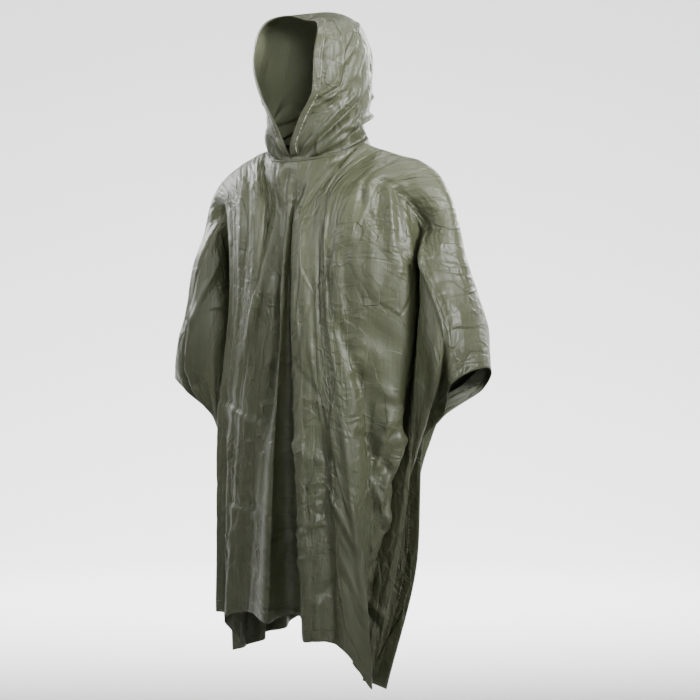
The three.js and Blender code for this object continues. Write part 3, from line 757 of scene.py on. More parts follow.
def relief(creases: tuple[Crease, ...], rumples: tuple[Rumple, ...], across: Array,
           down: Array) -> Array:
    """Add up all the creases and folds of a piece.

    Args:
        creases: the listed creases.
        rumples: the fields of small folds.
        across: the places' distances across the cloth.
        down: the places' distances down the cloth.

    Returns:
        The lift at each place, in metres.
    """
    height = np.zeros(across.shape)
    for crease in creases:
        height += crease_height(crease, across, down)
    for rumple in rumples:
        height += rumple.height(across, down)
    return height


class Shade:
    """A material's node tree, with one short method for each kind of node that the finishes use."""

    def __init__(self, name: str) -> None:
        """Start a material with an empty tree, a shader and its output.

        Args:
            name: the material's name.
        """
        self.material = bpy.data.materials.new(name)
        self.material.use_nodes = True
        self.tree = self.material.node_tree
        self.tree.nodes.clear()
        self.shader = self.tree.nodes.new("ShaderNodeBsdfPrincipled")
        output = self.tree.nodes.new("ShaderNodeOutputMaterial")
        self.feed(self.shader.outputs["BSDF"], output.inputs["Surface"])

    def feed(self, value: Socket | Colour | float, target: Socket) -> None:
        """Put a value into an input.

        Args:
            value: a socket, a colour or a number.
            target: the input.
        """
        if isinstance(value, Socket):
            self.tree.links.new(value, target)
        else:
            target.default_value = (*value, 1.0) if isinstance(value, tuple) else value

    def cloth_place(self) -> Socket:
        """Read the place on the flat cloth.

        Returns:
            The place, in metres.
        """
        node = self.tree.nodes.new("ShaderNodeUVMap")
        node.uv_map = UV_NAME
        return node.outputs["UV"]

    def axes(self, place: Socket) -> tuple[Socket, Socket]:
        """Take a place apart.

        Args:
            place: the place on the flat cloth.

        Returns:
            Its distances across and along the cloth.
        """
        node = self.tree.nodes.new("ShaderNodeSeparateXYZ")
        self.feed(place, node.inputs[0])
        return node.outputs[0], node.outputs[1]

    def stretched(self, place: Socket, along: float, turn: float, across: float = 1.0) -> Socket:
        """Scale a place's axes, after a turn.

        Args:
            place: the place on the flat cloth.
            along: the scale along the cloth, under 1 where the pattern is drawn out that way.
            turn: the turn, in radians.
            across: the scale across it.

        Returns:
            The new place.
        """
        node = self.tree.nodes.new("ShaderNodeMapping")
        node.inputs["Scale"].default_value = (across, along, 1.0)
        node.inputs["Rotation"].default_value = (0.0, 0.0, turn)
        self.feed(place, node.inputs["Vector"])
        return node.outputs["Vector"]

    def noise(self, place: Socket, scale: float, detail: float = 2.0,
              distortion: float = 0.0) -> Socket:
        """Make a noise pattern.

        Args:
            place: the place to read it at.
            scale: how many lumps it has to a metre, about.
            detail: how many finer layers lie on it.
            distortion: how far it is dragged about.

        Returns:
            The pattern, about 0 to 1.
        """
        node = self.tree.nodes.new("ShaderNodeTexNoise")
        self.feed(place, node.inputs["Vector"])
        node.inputs["Scale"].default_value = scale
        node.inputs["Detail"].default_value = detail
        node.inputs["Distortion"].default_value = distortion
        return node.outputs["Fac"]

    def valleys(self, place: Socket, scale: float) -> Socket:
        """Make small folds that meet in sharp valleys.

        Args:
            place: the place to read them at.
            scale: how many there are to a metre, about.

        Returns:
            Their height, 0 in a valley.
        """
        folds = self.noise(place, scale, 1.5, 0.5)
        return self.math("ABSOLUTE", self.math("SUBTRACT", folds, 0.5))

    def facets(self, place: Socket, scale: float) -> Socket:
        """Make flat facets, each tilted its own way.

        Args:
            place: the place to read them at.
            scale: how many there are to a metre.

        Returns:
            Their height, in the place's own units.
        """
        cells = self.tree.nodes.new("ShaderNodeTexVoronoi")
        cells.feature = "SMOOTH_F1"
        cells.inputs["Scale"].default_value = scale
        cells.inputs["Smoothness"].default_value = 0.12
        self.feed(place, cells.inputs["Vector"])
        run, tilt, height = (self.tree.nodes.new("ShaderNodeVectorMath") for _ in range(3))
        run.operation = tilt.operation = "SUBTRACT"
        height.operation = "DOT_PRODUCT"
        self.feed(place, run.inputs[0])
        self.feed(cells.outputs["Position"], run.inputs[1])
        self.feed(cells.outputs["Color"], tilt.inputs[0])
        tilt.inputs[1].default_value = (0.5, 0.5, 0.5)
        self.feed(run.outputs[0], height.inputs[0])
        self.feed(tilt.outputs[0], height.inputs[1])
        return height.outputs["Value"]

    def math(self, way: str, first: Socket | float, second: Socket | float = 0.0) -> Socket:
        """Do one sum.

        Args:
            way: the kind of sum.
            first: its first value.
            second: its second value, where it takes two.

        Returns:
            The result.
        """
        node = self.tree.nodes.new("ShaderNodeMath")
        node.operation = way
        self.feed(first, node.inputs[0])
        self.feed(second, node.inputs[1])
        return node.outputs[0]

    def spread(self, value: Socket, low: float, high: float, to_low: float,
               to_high: float) -> Socket:
        """Take a value softly from one range to another.

        Args:
            value: the value.
            low: where its own range starts.
            high: where that ends.
            to_low: what it gives at the start.
            to_high: what it gives at the end.

        Returns:
            The new value.
        """
        node = self.tree.nodes.new("ShaderNodeMapRange")
        node.interpolation_type = "SMOOTHSTEP"
        self.feed(value, node.inputs["Value"])
        node.inputs["From Min"].default_value = low
        node.inputs["From Max"].default_value = high
        node.inputs["To Min"].default_value = to_low
        node.inputs["To Max"].default_value = to_high
        return node.outputs["Result"]

    def blend(self, share: Socket, first: Socket | Colour, second: Socket | Colour) -> Socket:
        """Mix two colours.

        Args:
            share: the second colour's share.
            first: the first colour.
            second: the second colour.

        Returns:
            The mix.
        """
        node = self.tree.nodes.new("ShaderNodeMix")
        node.data_type = "RGBA"
        self.feed(share, node.inputs["Factor"])
        self.feed(first, node.inputs[6])
        self.feed(second, node.inputs[7])
        return node.outputs[2]

    def bump(self, height: Socket, distance: float, strength: float,
             under: Socket | None = None) -> Socket:
        """Raise the surface's normal by a pattern.

        Args:
            height: the pattern.
            distance: how far a height of 1 stands out, in metres.
            strength: how much of it shows.
            under: the normal that it lies on, where there is one.

        Returns:
            The new normal.
        """
        node = self.tree.nodes.new("ShaderNodeBump")
        node.inputs["Distance"].default_value = distance
        node.inputs["Strength"].default_value = strength
        self.feed(height, node.inputs["Height"])
        if under is not None:
            self.feed(under, node.inputs["Normal"])
        return node.outputs["Normal"]


# How far the film's small creases stand out for a pattern's height of 1: the large facets, the
# lines drawn down the cloth, the small facets, the crumple and the grain. Then the weld, in metres.
BROKEN_LIFT, DRAWN_LIFT, SMALL_LIFT, CRUMPLE_LIFT, GRAIN_LIFT = 0.16, 0.004, 0.34, 0.009, 0.00012
WELD_LIFT = 0.0007


@dataclass(frozen=True)
class VinylFinish:
    """The look of the film on one of its faces.

    Attributes:
        name: the material's name.
        pale: the colour where the film is thin or worn.
        deep: the colour elsewhere.
        gloss: the lowest and the highest roughness.
        coat: the weight of the glossy skin.
        crinkle: how strong the small creases are.
        mark: what is welded along the edge.
    """

    name: str
    pale: Colour
    deep: Colour
    gloss: Place
    coat: float
    crinkle: float
    mark: Mark

    def weld_distance(self, shade: Shade, place: Socket) -> Socket:
        """Measure the distance from the weld line.

        Args:
            shade: the material's tree.
            place: the place on the flat cloth.

        Returns:
            The distance, in metres: negative between the line and the edge.
        """
        across, along = shade.axes(place)
        if self.mark is Mark.SEAM:
            return shade.math("SUBTRACT", HOOD_SIZE[0] - SEAM_WIDTH, across)
        if self.mark is Mark.CASING:
            return shade.math("SUBTRACT", across, CASING_WELD)
        from_side = shade.math("SUBTRACT", SHEET_HALF_WIDTH, shade.math("ABSOLUTE", across))
        from_end = shade.math("SUBTRACT", SHEET_HALF_LENGTH, shade.math("ABSOLUTE", along))
        return shade.math("SUBTRACT", shade.math("MINIMUM", from_side, from_end), HEM_WIDTH)

    def creased(self, shade: Shade, place: Socket) -> Socket:
        """Make the normal of the small creases, each kind laid over the last.

        Args:
            shade: the material's tree.
            place: the place on the flat cloth.

        Returns:
            The normal.
        """
        cover = shade.spread(shade.noise(place, 8.0), 0.38, 0.6, 0.25, 1.0)
        valleys = shade.valleys(shade.stretched(place, 0.4, 0.3), 34.0)
        ridges = shade.valleys(shade.stretched(place, 1.0, -0.5, 0.6), 46.0)
        crumple = shade.math("MULTIPLY", shade.math("SUBTRACT", valleys, ridges), cover)
        broken = shade.facets(shade.stretched(place, 0.3, 0.12), 17.0)
        small = shade.facets(shade.stretched(place, 0.45, -0.25), 50.0)
        drawn = shade.noise(shade.stretched(place, 0.09, 0.03), 60.0)
        normal = shade.bump(broken, BROKEN_LIFT, self.crinkle)
        normal = shade.bump(drawn, DRAWN_LIFT, self.crinkle, normal)
        covered = shade.math("MULTIPLY", small, cover)
        normal = shade.bump(covered, SMALL_LIFT, self.crinkle, normal)
        normal = shade.bump(crumple, CRUMPLE_LIFT, self.crinkle, normal)
        return shade.bump(shade.noise(place, 420.0), GRAIN_LIFT, 0.5, normal)

    @cache
    def material(self) -> bpy.types.Material:
        """Make the material, at the first call only.

        Returns:
            The material.
        """
        shade = Shade(self.name)
        place = shade.cloth_place()
        broad = shade.spread(shade.noise(place, 5.0, 3.0), 0.3, 0.7, 0.0, 1.0)
        colour = shade.blend(broad, self.deep, self.pale)
        rough = shade.spread(shade.noise(place, 14.0, 4.0), 0.3, 0.7, *self.gloss)
        away = self.weld_distance(shade, place)
        line = shade.spread(shade.math("ABSOLUTE", away), 0.0, 0.0014, 1.0, 0.0)
        inside = shade.spread(away, -0.001, 0.001, 1.0, 0.0)
        colour = shade.blend(shade.math("MULTIPLY", inside, 0.3), colour, self.deep)
        # Painted highlight: short pale dashes on the weld line, kept to noise patches (and low on
        # the casing), stand in for glints of light on the weld.
        highlight_dashes = shade.spread(shade.noise(place, 160.0, 1.0), 0.48, 0.54, 0.0, 1.0)
        if self.mark is Mark.CASING:
            highlight_patches = shade.spread(shade.axes(place)[1], 0.12, 0.16, 1.0, 0.1)
        else:
            highlight_patches = shade.spread(shade.noise(place, 9.0, 1.0), 0.58, 0.64, 0.0, 1.0)
        bright = shade.math("MULTIPLY", shade.math("MULTIPLY", line, highlight_dashes), highlight_patches)
        height = shade.math("SUBTRACT", inside, shade.math("MULTIPLY", line, 1.4))
        shade.feed(shade.blend(bright, colour, WELD_HIGHLIGHT), shade.shader.inputs["Base Color"])
        shade.feed(rough, shade.shader.inputs["Roughness"])
        normal = shade.bump(height, WELD_LIFT, 1.0, self.creased(shade, place))
        shade.feed(normal, shade.shader.inputs["Normal"])
        shade.shader.inputs["Specular IOR Level"].default_value = 0.5
        shade.shader.inputs["Coat Weight"].default_value = self.coat
        shade.shader.inputs["Coat Roughness"].default_value = 0.35
        return shade.material


OUTSIDE = VinylFinish("vinyl_outside", (0.07, 0.078, 0.04), (0.051, 0.057, 0.028), (0.42, 0.54),
                      0.05, 0.7, Mark.HEM)
INSIDE = VinylFinish("vinyl_inside", (0.06, 0.067, 0.036), (0.046, 0.051, 0.027), (0.5, 0.62),
                     0.0, 0.5, Mark.HEM)
# The hood's outer face, also used on the neck welds, is the sheet's own film painted darker. This
# is painted shade on the hood.
HOOD_OUTSIDE = VinylFinish("hood_outside", (0.058, 0.064, 0.034), (0.043, 0.048, 0.025),
                           (0.46, 0.58), 0.02, 0.6, Mark.SEAM)
# The hood's inner face, also used inside the neck welds, is painted far paler than the film's other
# faces. This is painted light that stands in for light shining through the thin film into the hood.
HOOD_INSIDE_PAINTED_LIGHT = VinylFinish("hood_inside_painted_light", (0.135, 0.147, 0.09), (0.115, 0.125, 0.077), (0.6, 0.7),
                          0.0, 0.2, Mark.SEAM)
CASING = VinylFinish("casing", (0.07, 0.076, 0.043), (0.055, 0.06, 0.033), (0.36, 0.48),
                     0.08, 0.4, Mark.CASING)


@dataclass
class Film:
    """A piece of film of so many columns and rows, the piece's name and the node it replaces."""

    columns: int
    rows: int
    name: str
    node: str

    def shaped(self, points: Array, cloth: Array) -> bpy.types.Object:
        """Shape a grid into the given points.

        Args:
            points: rows by columns of points, the first row at the top, in metres.
            cloth: the same grid's places on the flat cloth, in metres.

        Returns:
            The new object, at the origin, with the flat places as its map.
        """
        rows, columns = points.shape[:2]
        mesh = bpy.data.meshes.new(self.name)
        shape = bmesh.new()
        bmesh.ops.create_grid(shape, x_segments=columns - 1, y_segments=rows - 1, size=1.0,
                              calc_uvs=False)
        layer = shape.loops.layers.uv.new(UV_NAME)
        places = {}
        for vertex in shape.verts:
            column = round((vertex.co.x + 1) / 2 * (columns - 1))
            row = round((1 - vertex.co.y) / 2 * (rows - 1))
            places[vertex.index] = (row, column)
            vertex.co = points[row, column]
        for face in shape.faces:
            face.smooth = True
            for loop in face.loops:
                loop[layer].uv = cloth[places[loop.vert.index]]
        shape.to_mesh(mesh)
        shape.free()
        piece = bpy.data.objects.new(self.name, mesh)
        bpy.context.scene.collection.objects.link(piece)
        return piece

    def finished(self, piece: bpy.types.Object, outside: VinylFinish, inside: VinylFinish,
                 thickness: float, slot: str) -> bpy.types.Object:
        """Give a piece its wall, its finishes and its place in the part.

        Args:
            piece: the piece, as its middle surface.
            outside: the finish of its outer face.
            inside: the finish of its inner face.
            thickness: the film's thickness, in metres.
            slot: a material slot's name, which is not used.

        Returns:
            The same piece.
        """
        for finish in (outside, inside):
            piece.data.materials.append(finish.material())
        wall = piece.modifiers.new("wall", "SOLIDIFY")
        wall.thickness = thickness
        wall.offset = 0.0
        wall.use_rim = True
        wall.use_even_offset = False
        wall.material_offset = 1
        wall.material_offset_rim = 0
        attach(piece, "root")
        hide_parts(self.node)
        return piece


@dataclass
class SheetHalf(Film):
    """One half of the sheet, from the fold line over the shoulders down to its hem.

    Attributes:
        side: the half that it is.
        folds: its fold lines, from the wearer's right to their left.
        plunge: its slope down at the neck hole, in cm for the whole half length.
        flare: its slope outwards there.
        top_step: how close its rows lie at the top, as a share of the even step.
        top_reach: the share of the rows over which they open out.
        ring_fade: the share of the length over which the neck hole's own round fades.
    """

    side: Face
    folds: tuple[FoldLine, ...]
    plunge: float = -75.0
    flare: float = 30.0
    top_step: float = 0.12
    top_reach: float = 0.05
    ring_fade: float = 0.12

    def top_point(self, share: Array) -> Array:
        """Place points on the half's top edge: the neck hole, then the line over the arm.

        Args:
            share: shares of the half width.

        Returns:
            One point for each share, in cm.
        """
        turn = np.clip(share / NECK_SHARE, -1, 1) * math.pi / 2
        ring = ring_point(turn if self.side is Face.FRONT else math.pi - turn)
        return np.where((np.abs(share) < NECK_SHARE)[:, None], ring, arm_point(share))

    def top_slope(self, share: Array) -> Array:
        """Work out how the cloth leaves its top edge: level off the arm, steeply at the neck.

        Args:
            share: shares of the half width.

        Returns:
            The slope at each share, in cm for the whole half length.
        """
        turn = np.clip(share / NECK_SHARE, -1, 1) * math.pi / 2
        level = smooth((np.abs(share) - 0.06) / 0.18)[:, None]
        across, away = self.flare * np.sin(turn), self.flare * self.side.value * np.cos(turn)
        ring = np.stack([across, away, np.full_like(turn, self.plunge)], -1)
        arm = np.array([0.0, self.side.value * SHEET_HALF_LENGTH / CM, 0.0])
        return ring * (1 - level) + arm * level

    def fold_points(self, shares: Array, down: Array) -> Array:
        """Place points down every fold line.

        Args:
            shares: the fold lines' shares across.
            down: shares of the half length.

        Returns:
            Places down by lines by 3, in cm.
        """
        hip_share = (LEVELS[4] - LEVELS[3]) / (LEVELS[5] - LEVELS[3])
        blocks = np.array([
            self.top_point(shares),
            [fold.yoke for fold in self.folds],
            [fold.chest for fold in self.folds],
            [fold.elbow for fold in self.folds],
            [(*fold.hip, fold.elbow[2] + (fold.hem[2] - fold.elbow[2]) * hip_share)
             for fold in self.folds],
            [fold.hem for fold in self.folds],
        ])
        return curve_through(LEVELS, blocks, down, Pass.STEADY, self.top_slope(shares))

    def drape(self, shares: Array, down: Array) -> Array:
        """Work out the hung sheet's smooth middle surface.

        Args:
            shares: shares of the half width, from -1 on the wearer's right to 1.
            down: shares of the half length, from 0 at the shoulder line to 1 at the hem.

        Returns:
            Rows by columns of points, in metres.
        """
        knots = np.array([fold.share for fold in self.folds])
        lines = self.fold_points(knots, down).transpose(1, 0, 2)
        size = np.abs(shares)
        inner = np.where(size > LIP_SHARE, np.sign(shares) * LIP_SHARE, shares)
        points = curve_through(knots, lines, inner, Pass.FREE)
        outer = curve_through(knots, lines, np.sign(shares) + (shares == 0), Pass.FREE)
        step = np.clip((size - LIP_SHARE) / (1 - LIP_SHARE), 0, 1)[:, None, None]
        points = points + (outer - points) * step
        plain = curve_through(knots, self.top_point(knots), shares, Pass.FREE)
        fade = (1 - np.minimum(down / self.ring_fade, 1)) ** 2
        points += (self.top_point(shares) - plain)[:, None] * fade[None, :, None]
        points *= CM
        lip = smooth((size - 0.85) / 0.1)[:, None] * smooth((down - 0.1) / 0.08)[None]
        points[..., 1] += self.side.value * (FILM + LAYER_GAP) / 2 * lip
        return points.transpose(1, 0, 2)

    def calm(self, shares: Array, down: Array) -> Array:
        """Work out how high the creases reach: they fade at the neck seam and the welded edges.

        Args:
            shares: shares of the half width.
            down: shares of the half length.

        Returns:
            Rows by columns of shares of their full height.
        """
        size, level = np.abs(shares)[None], down[:, None]
        neck = 1 - (1 - smooth((level - 0.006) / 0.02)) * (1 - smooth((size - NECK_SHARE) / 0.06))
        lip = 1 - smooth((size - 0.87) / 0.08) * smooth((level - 0.08) / 0.1)
        arm = 1 - 0.6 * smooth((size - 0.3) / 0.2) * (1 - smooth(level / 0.08))
        yoke = 0.55 + 0.45 * smooth((level - 0.02) / 0.16)
        return neck * lip * arm * yoke

    def build(self) -> bpy.types.Object:
        """Make the half with every crease, its rows closer together at the top.

        Returns:
            The finished piece.
        """
        shares = np.linspace(-1, 1, self.columns)
        shares *= 1 if self.side is Face.FRONT else -1
        even = np.linspace(0, 1, self.rows)
        down = even * (self.top_step + (1 - self.top_step) * smooth(even / self.top_reach))
        down[0] = 0.0
        points = self.drape(shares, down)
        across, along = np.broadcast_arrays(
            shares[None] * SHEET_HALF_WIDTH, -self.side.value * down[:, None] * SHEET_HALF_LENGTH
        )
        height = relief(SHEET_CREASES, SHEET_RUMPLES, across, along) * self.calm(shares, down)
        points = points + grid_normals(points) * height[..., None]
        piece = self.shaped(points, np.stack([across, along], -1))
        return self.finished(piece, OUTSIDE, INSIDE, FILM, "vinyl")


@dataclass
class HoodHalf(Film):
    """One half of the hood, from its face edge back to the middle seam.

    Attributes:
        side: the wearer's side that it is on.
        top: the share of the height at which its mesh ends.
        tip: the highest share at which its slope is measured.
        normal_step: how far apart the places lie between which it is measured, as a share.
        bulge: how far its side stands out past its face edge at least, in cm.
    """

    side: Hand
    top: float = 0.998
    tip: float = 0.999
    normal_step: float = 0.004
    bulge: float = 0.02

    def surface(self, back: Array, height: Array) -> Array:
        """Work out the hood's smooth middle surface.

        Args:
            back: shares back from the face edge to the middle seam, rows by columns.
            height: shares up from the neck seam, the same shape.

        Returns:
            The points, in metres.
        """
        knots = np.array([cut.share for cut in HOOD_SECTIONS])
        left = self.side is Hand.LEFT
        table = np.array([
            (cut.rim[0] + (cut.gape if left else 0), cut.rim[1],
             cut.rim[2] + (0 if left else cut.lift), *cut.seam, cut.left if left else cut.right)
            for cut in HOOD_SECTIONS
        ])
        cut = curve_through(knots, table, height.ravel(), Pass.STEADY)
        rim_x, rim_y, rim_z, seam_y, seam_z, width = (
            column.reshape(height.shape) for column in cut.T
        )
        width = np.maximum(width, rim_x + self.bulge)
        start = np.arcsin(np.minimum(rim_x / width, 1))
        turn = start + (math.pi - start) * back
        share = (np.cos(start) - np.cos(turn)) / (1 + np.cos(start))
        sideways = np.maximum(width * np.sin(turn), 0)
        return np.stack([
            self.side.value * sideways,
            rim_y + (seam_y - rim_y) * share,
            rim_z + (seam_z - rim_z) * share,
        ], -1) * CM

    def outward(self, back: Array, height: Array) -> Array:
        """Work out the smooth surface's unit normals.

        Args:
            back: shares back from the face edge.
            height: shares up from the neck seam.

        Returns:
            The normals, which lie in the middle plane along the seam.
        """
        step = self.normal_step
        across = (self.surface(np.minimum(back + step, 1), height)
                  - self.surface(np.maximum(back - step, 0), height))
        up = (self.surface(back, np.minimum(height + step, self.tip))
              - self.surface(back, np.maximum(height - step, 0)))
        normal = np.cross(across, up) * self.side.value
        normal[..., 0] *= smooth((1 - back) / 0.01)
        return normal / np.maximum(np.linalg.norm(normal, axis=-1, keepdims=True), 1e-12)

    def creased(self, back: Array, height: Array, out: float = 0.0) -> Array:
        """Lay the creases on the surface, fading at its edges and lower on the calm right half.

        Args:
            back: shares back from the face edge.
            height: shares up from the neck seam.
            out: how far the points are moved out from the film, in metres.

        Returns:
            The points, in metres.
        """
        lift = relief(HOOD_CREASES, HOOD_RUMPLES, back * HOOD_SIZE[0], height * HOOD_SIZE[1])
        lift *= smooth((height - 0.01) / 0.06) * smooth((1 - back) / 0.06)
        lift *= smooth((0.99 - height) / 0.12)
        if self.side is Hand.RIGHT:
            lift *= 0.3 + 0.7 * (1 - smooth((height - 0.12) / 0.25))
        normal = self.outward(back, height)
        return self.surface(back, height) + normal * (lift + out)[..., None]

    def build(self) -> bpy.types.Object:
        """Make the half with its creases.

        Returns:
            The finished piece.
        """
        back = np.linspace(0, 1, self.columns)[::self.side.value]
        back, height = np.meshgrid(back, np.linspace(self.top, 0, self.rows))
        cloth = np.stack([back * HOOD_SIZE[0], height * HOOD_SIZE[1]], -1)
        piece = self.shaped(self.creased(back, height), cloth)
        return self.finished(piece, HOOD_OUTSIDE, HOOD_INSIDE_PAINTED_LIGHT, FILM, "vinyl")


@dataclass
class HoodCasing(Film):
    """The turned and welded face edge of one half of the hood, on the hood's own points.

    Attributes:
        hood: the half of the hood.
        width: the strip's width, in metres.
        low: the share of the hood's height at which it starts.
    """

    hood: HoodHalf
    width: float = 0.017
    low: float = 0.05

    def build(self) -> bpy.types.Object:
        """Make the strip, as wide at every height.

        Returns:
            The finished piece.
        """
        height = np.linspace(self.hood.top, self.low, self.rows)
        run = self.hood.surface(*np.meshgrid(np.linspace(0, 1, 60), height))
        length = np.linalg.norm(np.diff(run, axis=1), axis=-1).sum(1)
        reach = np.minimum(self.width / np.maximum(length, 1e-6), 0.5)
        across = np.linspace(0, 1, self.columns)[::self.hood.side.value]
        back = across[None] * reach[:, None]
        levels = np.broadcast_to(height[:, None], back.shape)
        points = self.hood.creased(back, levels, FILM / 2 + LAYER_GAP + STRIP_FILM / 2)
        cloth = np.stack([back * length[:, None], levels * HOOD_SIZE[1]], -1)
        piece = self.shaped(points, cloth)
        return self.finished(piece, CASING, CASING, STRIP_FILM, "vinyl_casing")


@dataclass
class NeckWeld(Film):
    """The welded band that joins one half of the hood to the sheet round the neck hole.

    Attributes:
        hood: the half of the hood.
        front: the front of the sheet.
        back: the back of the sheet.
        low: how far down the sheet it reaches, as a share.
        high: how far up the hood it reaches, as a share.
        proud: how far it stands out, in metres.
        lean: how much it also stands up, as a share of that.
        flat: its size as flat cloth, in metres.
    """

    hood: HoodHalf
    front: SheetHalf
    back: SheetHalf
    low: float = 0.007
    high: float = 0.02
    proud: float = 0.001
    lean: float = 0.6
    flat: Place = (0.1, 0.012)

    def sheet_edge(self, turn: Array) -> Array:
        """Find the band's lower edge, a little down the sheet.

        Args:
            turn: turns from the throat round to the nape, in radians.

        Returns:
            One point for each turn, in metres.
        """
        quarter = math.pi / 2
        share = self.hood.side.value * NECK_SHARE * (1 - np.abs(turn - quarter) / quarter)
        order = np.argsort(share)
        edge = np.zeros((self.columns, 3))
        for half, is_mine in ((self.front, turn < quarter), (self.back, turn >= quarter)):
            row = half.drape(share[order], np.array([0.0, self.low]))[1]
            edge[order[is_mine[order]]] = row[is_mine[order]]
        return edge

    def build(self) -> bpy.types.Object:
        """Make the band, curved up from the sheet on to the hood.

        Returns:
            The finished piece.
        """
        turn = np.linspace(0, math.pi, self.columns)
        hand = self.hood.side.value
        corner = ring_point(hand * turn) * CM
        level = np.full((1, self.columns), self.high)
        on_hood = self.hood.creased((turn / math.pi)[None], level)[0]
        out = np.stack([hand * np.sin(turn), -np.cos(turn), np.full_like(turn, self.lean)], -1)
        out *= self.proud
        up = np.linspace(0, 1, self.rows)[:, None, None]
        points = ((1 - up) ** 2 * self.sheet_edge(turn) + 2 * up * (1 - up) * (corner + out)
                  + up ** 2 * on_hood) + out
        across, along = np.broadcast_arrays(turn[None] * self.flat[0], up[..., 0] * self.flat[1])
        piece = self.shaped(points[::-hand], np.stack([across, along], -1))
        return self.finished(piece, HOOD_OUTSIDE, HOOD_INSIDE_PAINTED_LIGHT, STRIP_FILM, "vinyl")


@dataclass(frozen=True)
class SoftBox:
    """One soft light: its place and aim go so far right, towards the camera, and up."""

    name: str
    place: Point
    aim: Point
    size: Place
    power: float
    spread: float


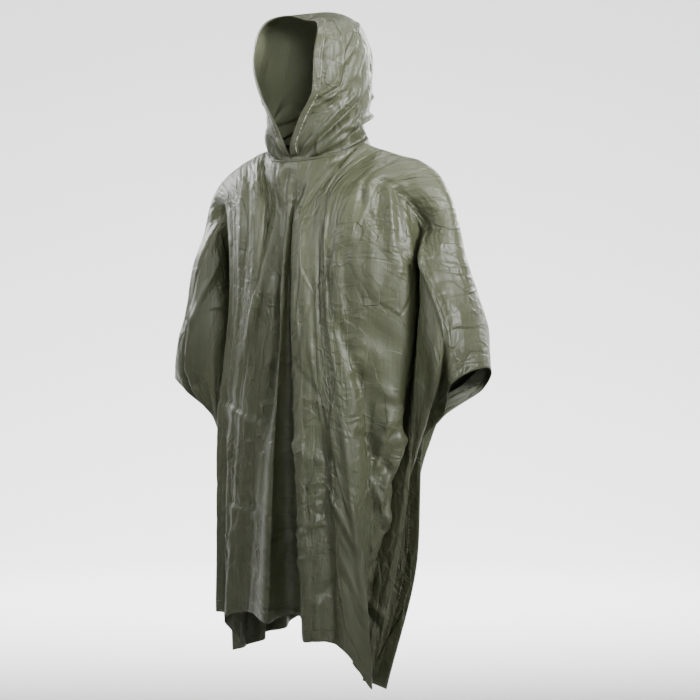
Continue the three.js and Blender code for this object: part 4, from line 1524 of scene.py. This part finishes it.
@dataclass
class Studio:
    """The plain pale floor that rises into a backdrop, the soft lights and the camera.

    Attributes:
        azimuth: the camera's turn about the wearer, in degrees from straight ahead.
        distance: its distance from the target.
        lens: its focal length, in mm.
        sensor: its sensor's width, in mm.
        target: the place that it looks at.
        floor: the floor's height.
        flat: the radius of the floor's flat middle.
        rise: how far the floor rises round that, and over what run.
        wall: the height of the wall's top above the floor.
        dim: the strength of the even light all round.
        boxes: the soft lights.
    """

    azimuth: float = 33.0
    distance: float = 4.2
    lens: float = 109.6
    sensor: float = 36.0
    target: Point = (0.0397, 0.0258, -0.400)
    floor: float = -1.3
    flat: float = 5.0
    rise: float = 4.0
    wall: float = 7.0
    dim: float = 0.08
    boxes: tuple[SoftBox, ...] = (
        SoftBox("key", (1.9, 1.6, 1.0), (0.0, 0.0, 0.3), (0.8, 1.3), 18.8, 54.0),
        SoftBox("fill", (-2.1, 1.1, 0.9), (0.0, 0.0, 0.3), (0.7, 1.3), 5.8, 56.0),
        SoftBox("over", (0.3, -0.2, 1.7), (0.0, 0.0, 0.0), (1.2, 1.2), 12.0, 120.0),
        SoftBox("front", (0.6, 2.6, 0.9), (0.0, 0.0, 0.3), (0.9, 0.9), 4.0, 44.0),
        SoftBox("behind", (0.0, -1.8, 2.4), (0.0, -6.0, -1.0), (5.0, 1.5), 800.0, 130.0),
        SoftBox("ahead", (0.0, 2.4, 2.4), (0.0, 6.6, -1.0), (5.0, 1.5), 120.0, 130.0),
        SoftBox("back_left", (1.7, -2.2, 1.0), (0.0, 0.0, 0.1), (0.8, 1.3), 12.0, 60.0),
        SoftBox("back_right", (-1.9, -1.9, 1.0), (0.0, 0.0, 0.1), (0.8, 1.3), 9.0, 60.0),
    )

    def axes(self) -> tuple[Vector, Vector]:
        """Work out the picture's own directions over the floor.

        Returns:
            The one to the right and the one towards the camera.
        """
        turn = math.radians(self.azimuth)
        return (Vector((math.cos(turn), math.sin(turn), 0.0)),
                Vector((math.sin(turn), -math.cos(turn), 0.0)))

    def camera(self) -> None:
        """Place the camera at the photograph's viewing angle."""
        away = self.axes()[1]
        data = bpy.data.cameras.new("camera")
        data.lens = self.lens
        data.sensor_width = self.sensor
        camera = bpy.data.objects.new("camera", data)
        camera.location = Vector(self.target) + away * self.distance
        camera.rotation_euler = (-away).to_track_quat("-Z", "Y").to_euler()
        bpy.context.scene.collection.objects.link(camera)
        bpy.context.scene.camera = camera

    def light_up(self) -> None:
        """Place the soft boxes, and a faint even light all round."""
        right, away = self.axes()
        for box in self.boxes:
            data = bpy.data.lights.new(box.name, "AREA")
            data.shape = "RECTANGLE"
            data.size, data.size_y = box.size
            data.energy = box.power
            data.spread = math.radians(box.spread)
            lamp = bpy.data.objects.new(box.name, data)
            here, there = (right * aside + away * near + Vector((0.0, 0.0, up))
                           for aside, near, up in (box.place, box.aim))
            lamp.location = here
            lamp.rotation_euler = (there - here).to_track_quat("-Z", "Y").to_euler()
            bpy.context.scene.collection.objects.link(lamp)
        world = bpy.data.worlds.new("studio")
        world.use_nodes = True
        world.node_tree.nodes["Background"].inputs["Color"].default_value = (1.0, 1.0, 1.0, 1.0)
        world.node_tree.nodes["Background"].inputs["Strength"].default_value = self.dim
        bpy.context.scene.world = world

    def backdrop(self) -> None:
        """Make the round floor, which rises softly into a low wall all round."""
        shape = bmesh.new()
        quarter = np.linspace(0, math.pi / 2, 10)
        rise = [(self.flat + self.rise * math.sin(turn), self.rise - self.rise * math.cos(turn))
                for turn in quarter]
        outline = [(0.0, 0.0), *rise, (self.flat + self.rise, self.wall)]
        verts = [shape.verts.new((x, 0.0, self.floor + z)) for x, z in outline]
        edges = [shape.edges.new(pair) for pair in zip(verts, verts[1:])]
        bmesh.ops.spin(shape, geom=verts + edges, cent=(0, 0, 0), axis=(0, 0, 1),
                       angle=2 * math.pi, steps=64, use_merge=True, use_duplicate=False)
        bmesh.ops.remove_doubles(shape, verts=shape.verts, dist=1e-4)
        bmesh.ops.recalc_face_normals(shape, faces=shape.faces)
        for face in shape.faces:
            face.smooth = True
            if face.normal.z < -0.01:
                face.normal_flip()
        mesh = bpy.data.meshes.new("floor")
        shape.to_mesh(mesh)
        shape.free()
        floor = bpy.data.objects.new("floor", mesh)
        bpy.context.scene.collection.objects.link(floor)
        shade = Shade("pale_floor")
        shade.shader.inputs["Base Color"].default_value = (0.86, 0.86, 0.86, 1.0)
        shade.shader.inputs["Roughness"].default_value = 0.9
        mesh.materials.append(shade.material)


def report(*pieces: bpy.types.Object) -> None:
    """Log each piece with its number of faces."""
    for piece in pieces:
        log.info("%s: %d faces", piece.name, len(piece.data.polygons))


def main() -> None:
    """Build the camera, the lights and every piece, in that order."""
    logging.basicConfig(level=logging.INFO, format="%(message)s")
    studio = Studio()
    studio.camera()
    studio.light_up()
    studio.backdrop()
    front = SheetHalf(285, 165, "front_panel_film", "front_panel", Face.FRONT, FRONT_LINES)
    back = SheetHalf(285, 165, "back_panel_film", "back_panel", Face.BACK, BACK_LINES)
    for half in (front, back):
        piece = half.build()
        report(piece)
    for side, word in ((Hand.LEFT, "left"), (Hand.RIGHT, "right")):
        hood = HoodHalf(141, 121, f"hood_{word}_film", f"hood_{word}", side)
        piece = hood.build()
        strip = HoodCasing(7, 121, f"hood_casing_{word}_film", f"hood_casing_{word}", hood).build()
        weld = NeckWeld(91, 6, f"neck_weld_{word}", f"hood_{word}", hood, front, back).build()
        report(piece, strip, weld)


if __name__ == "__main__":
    main()
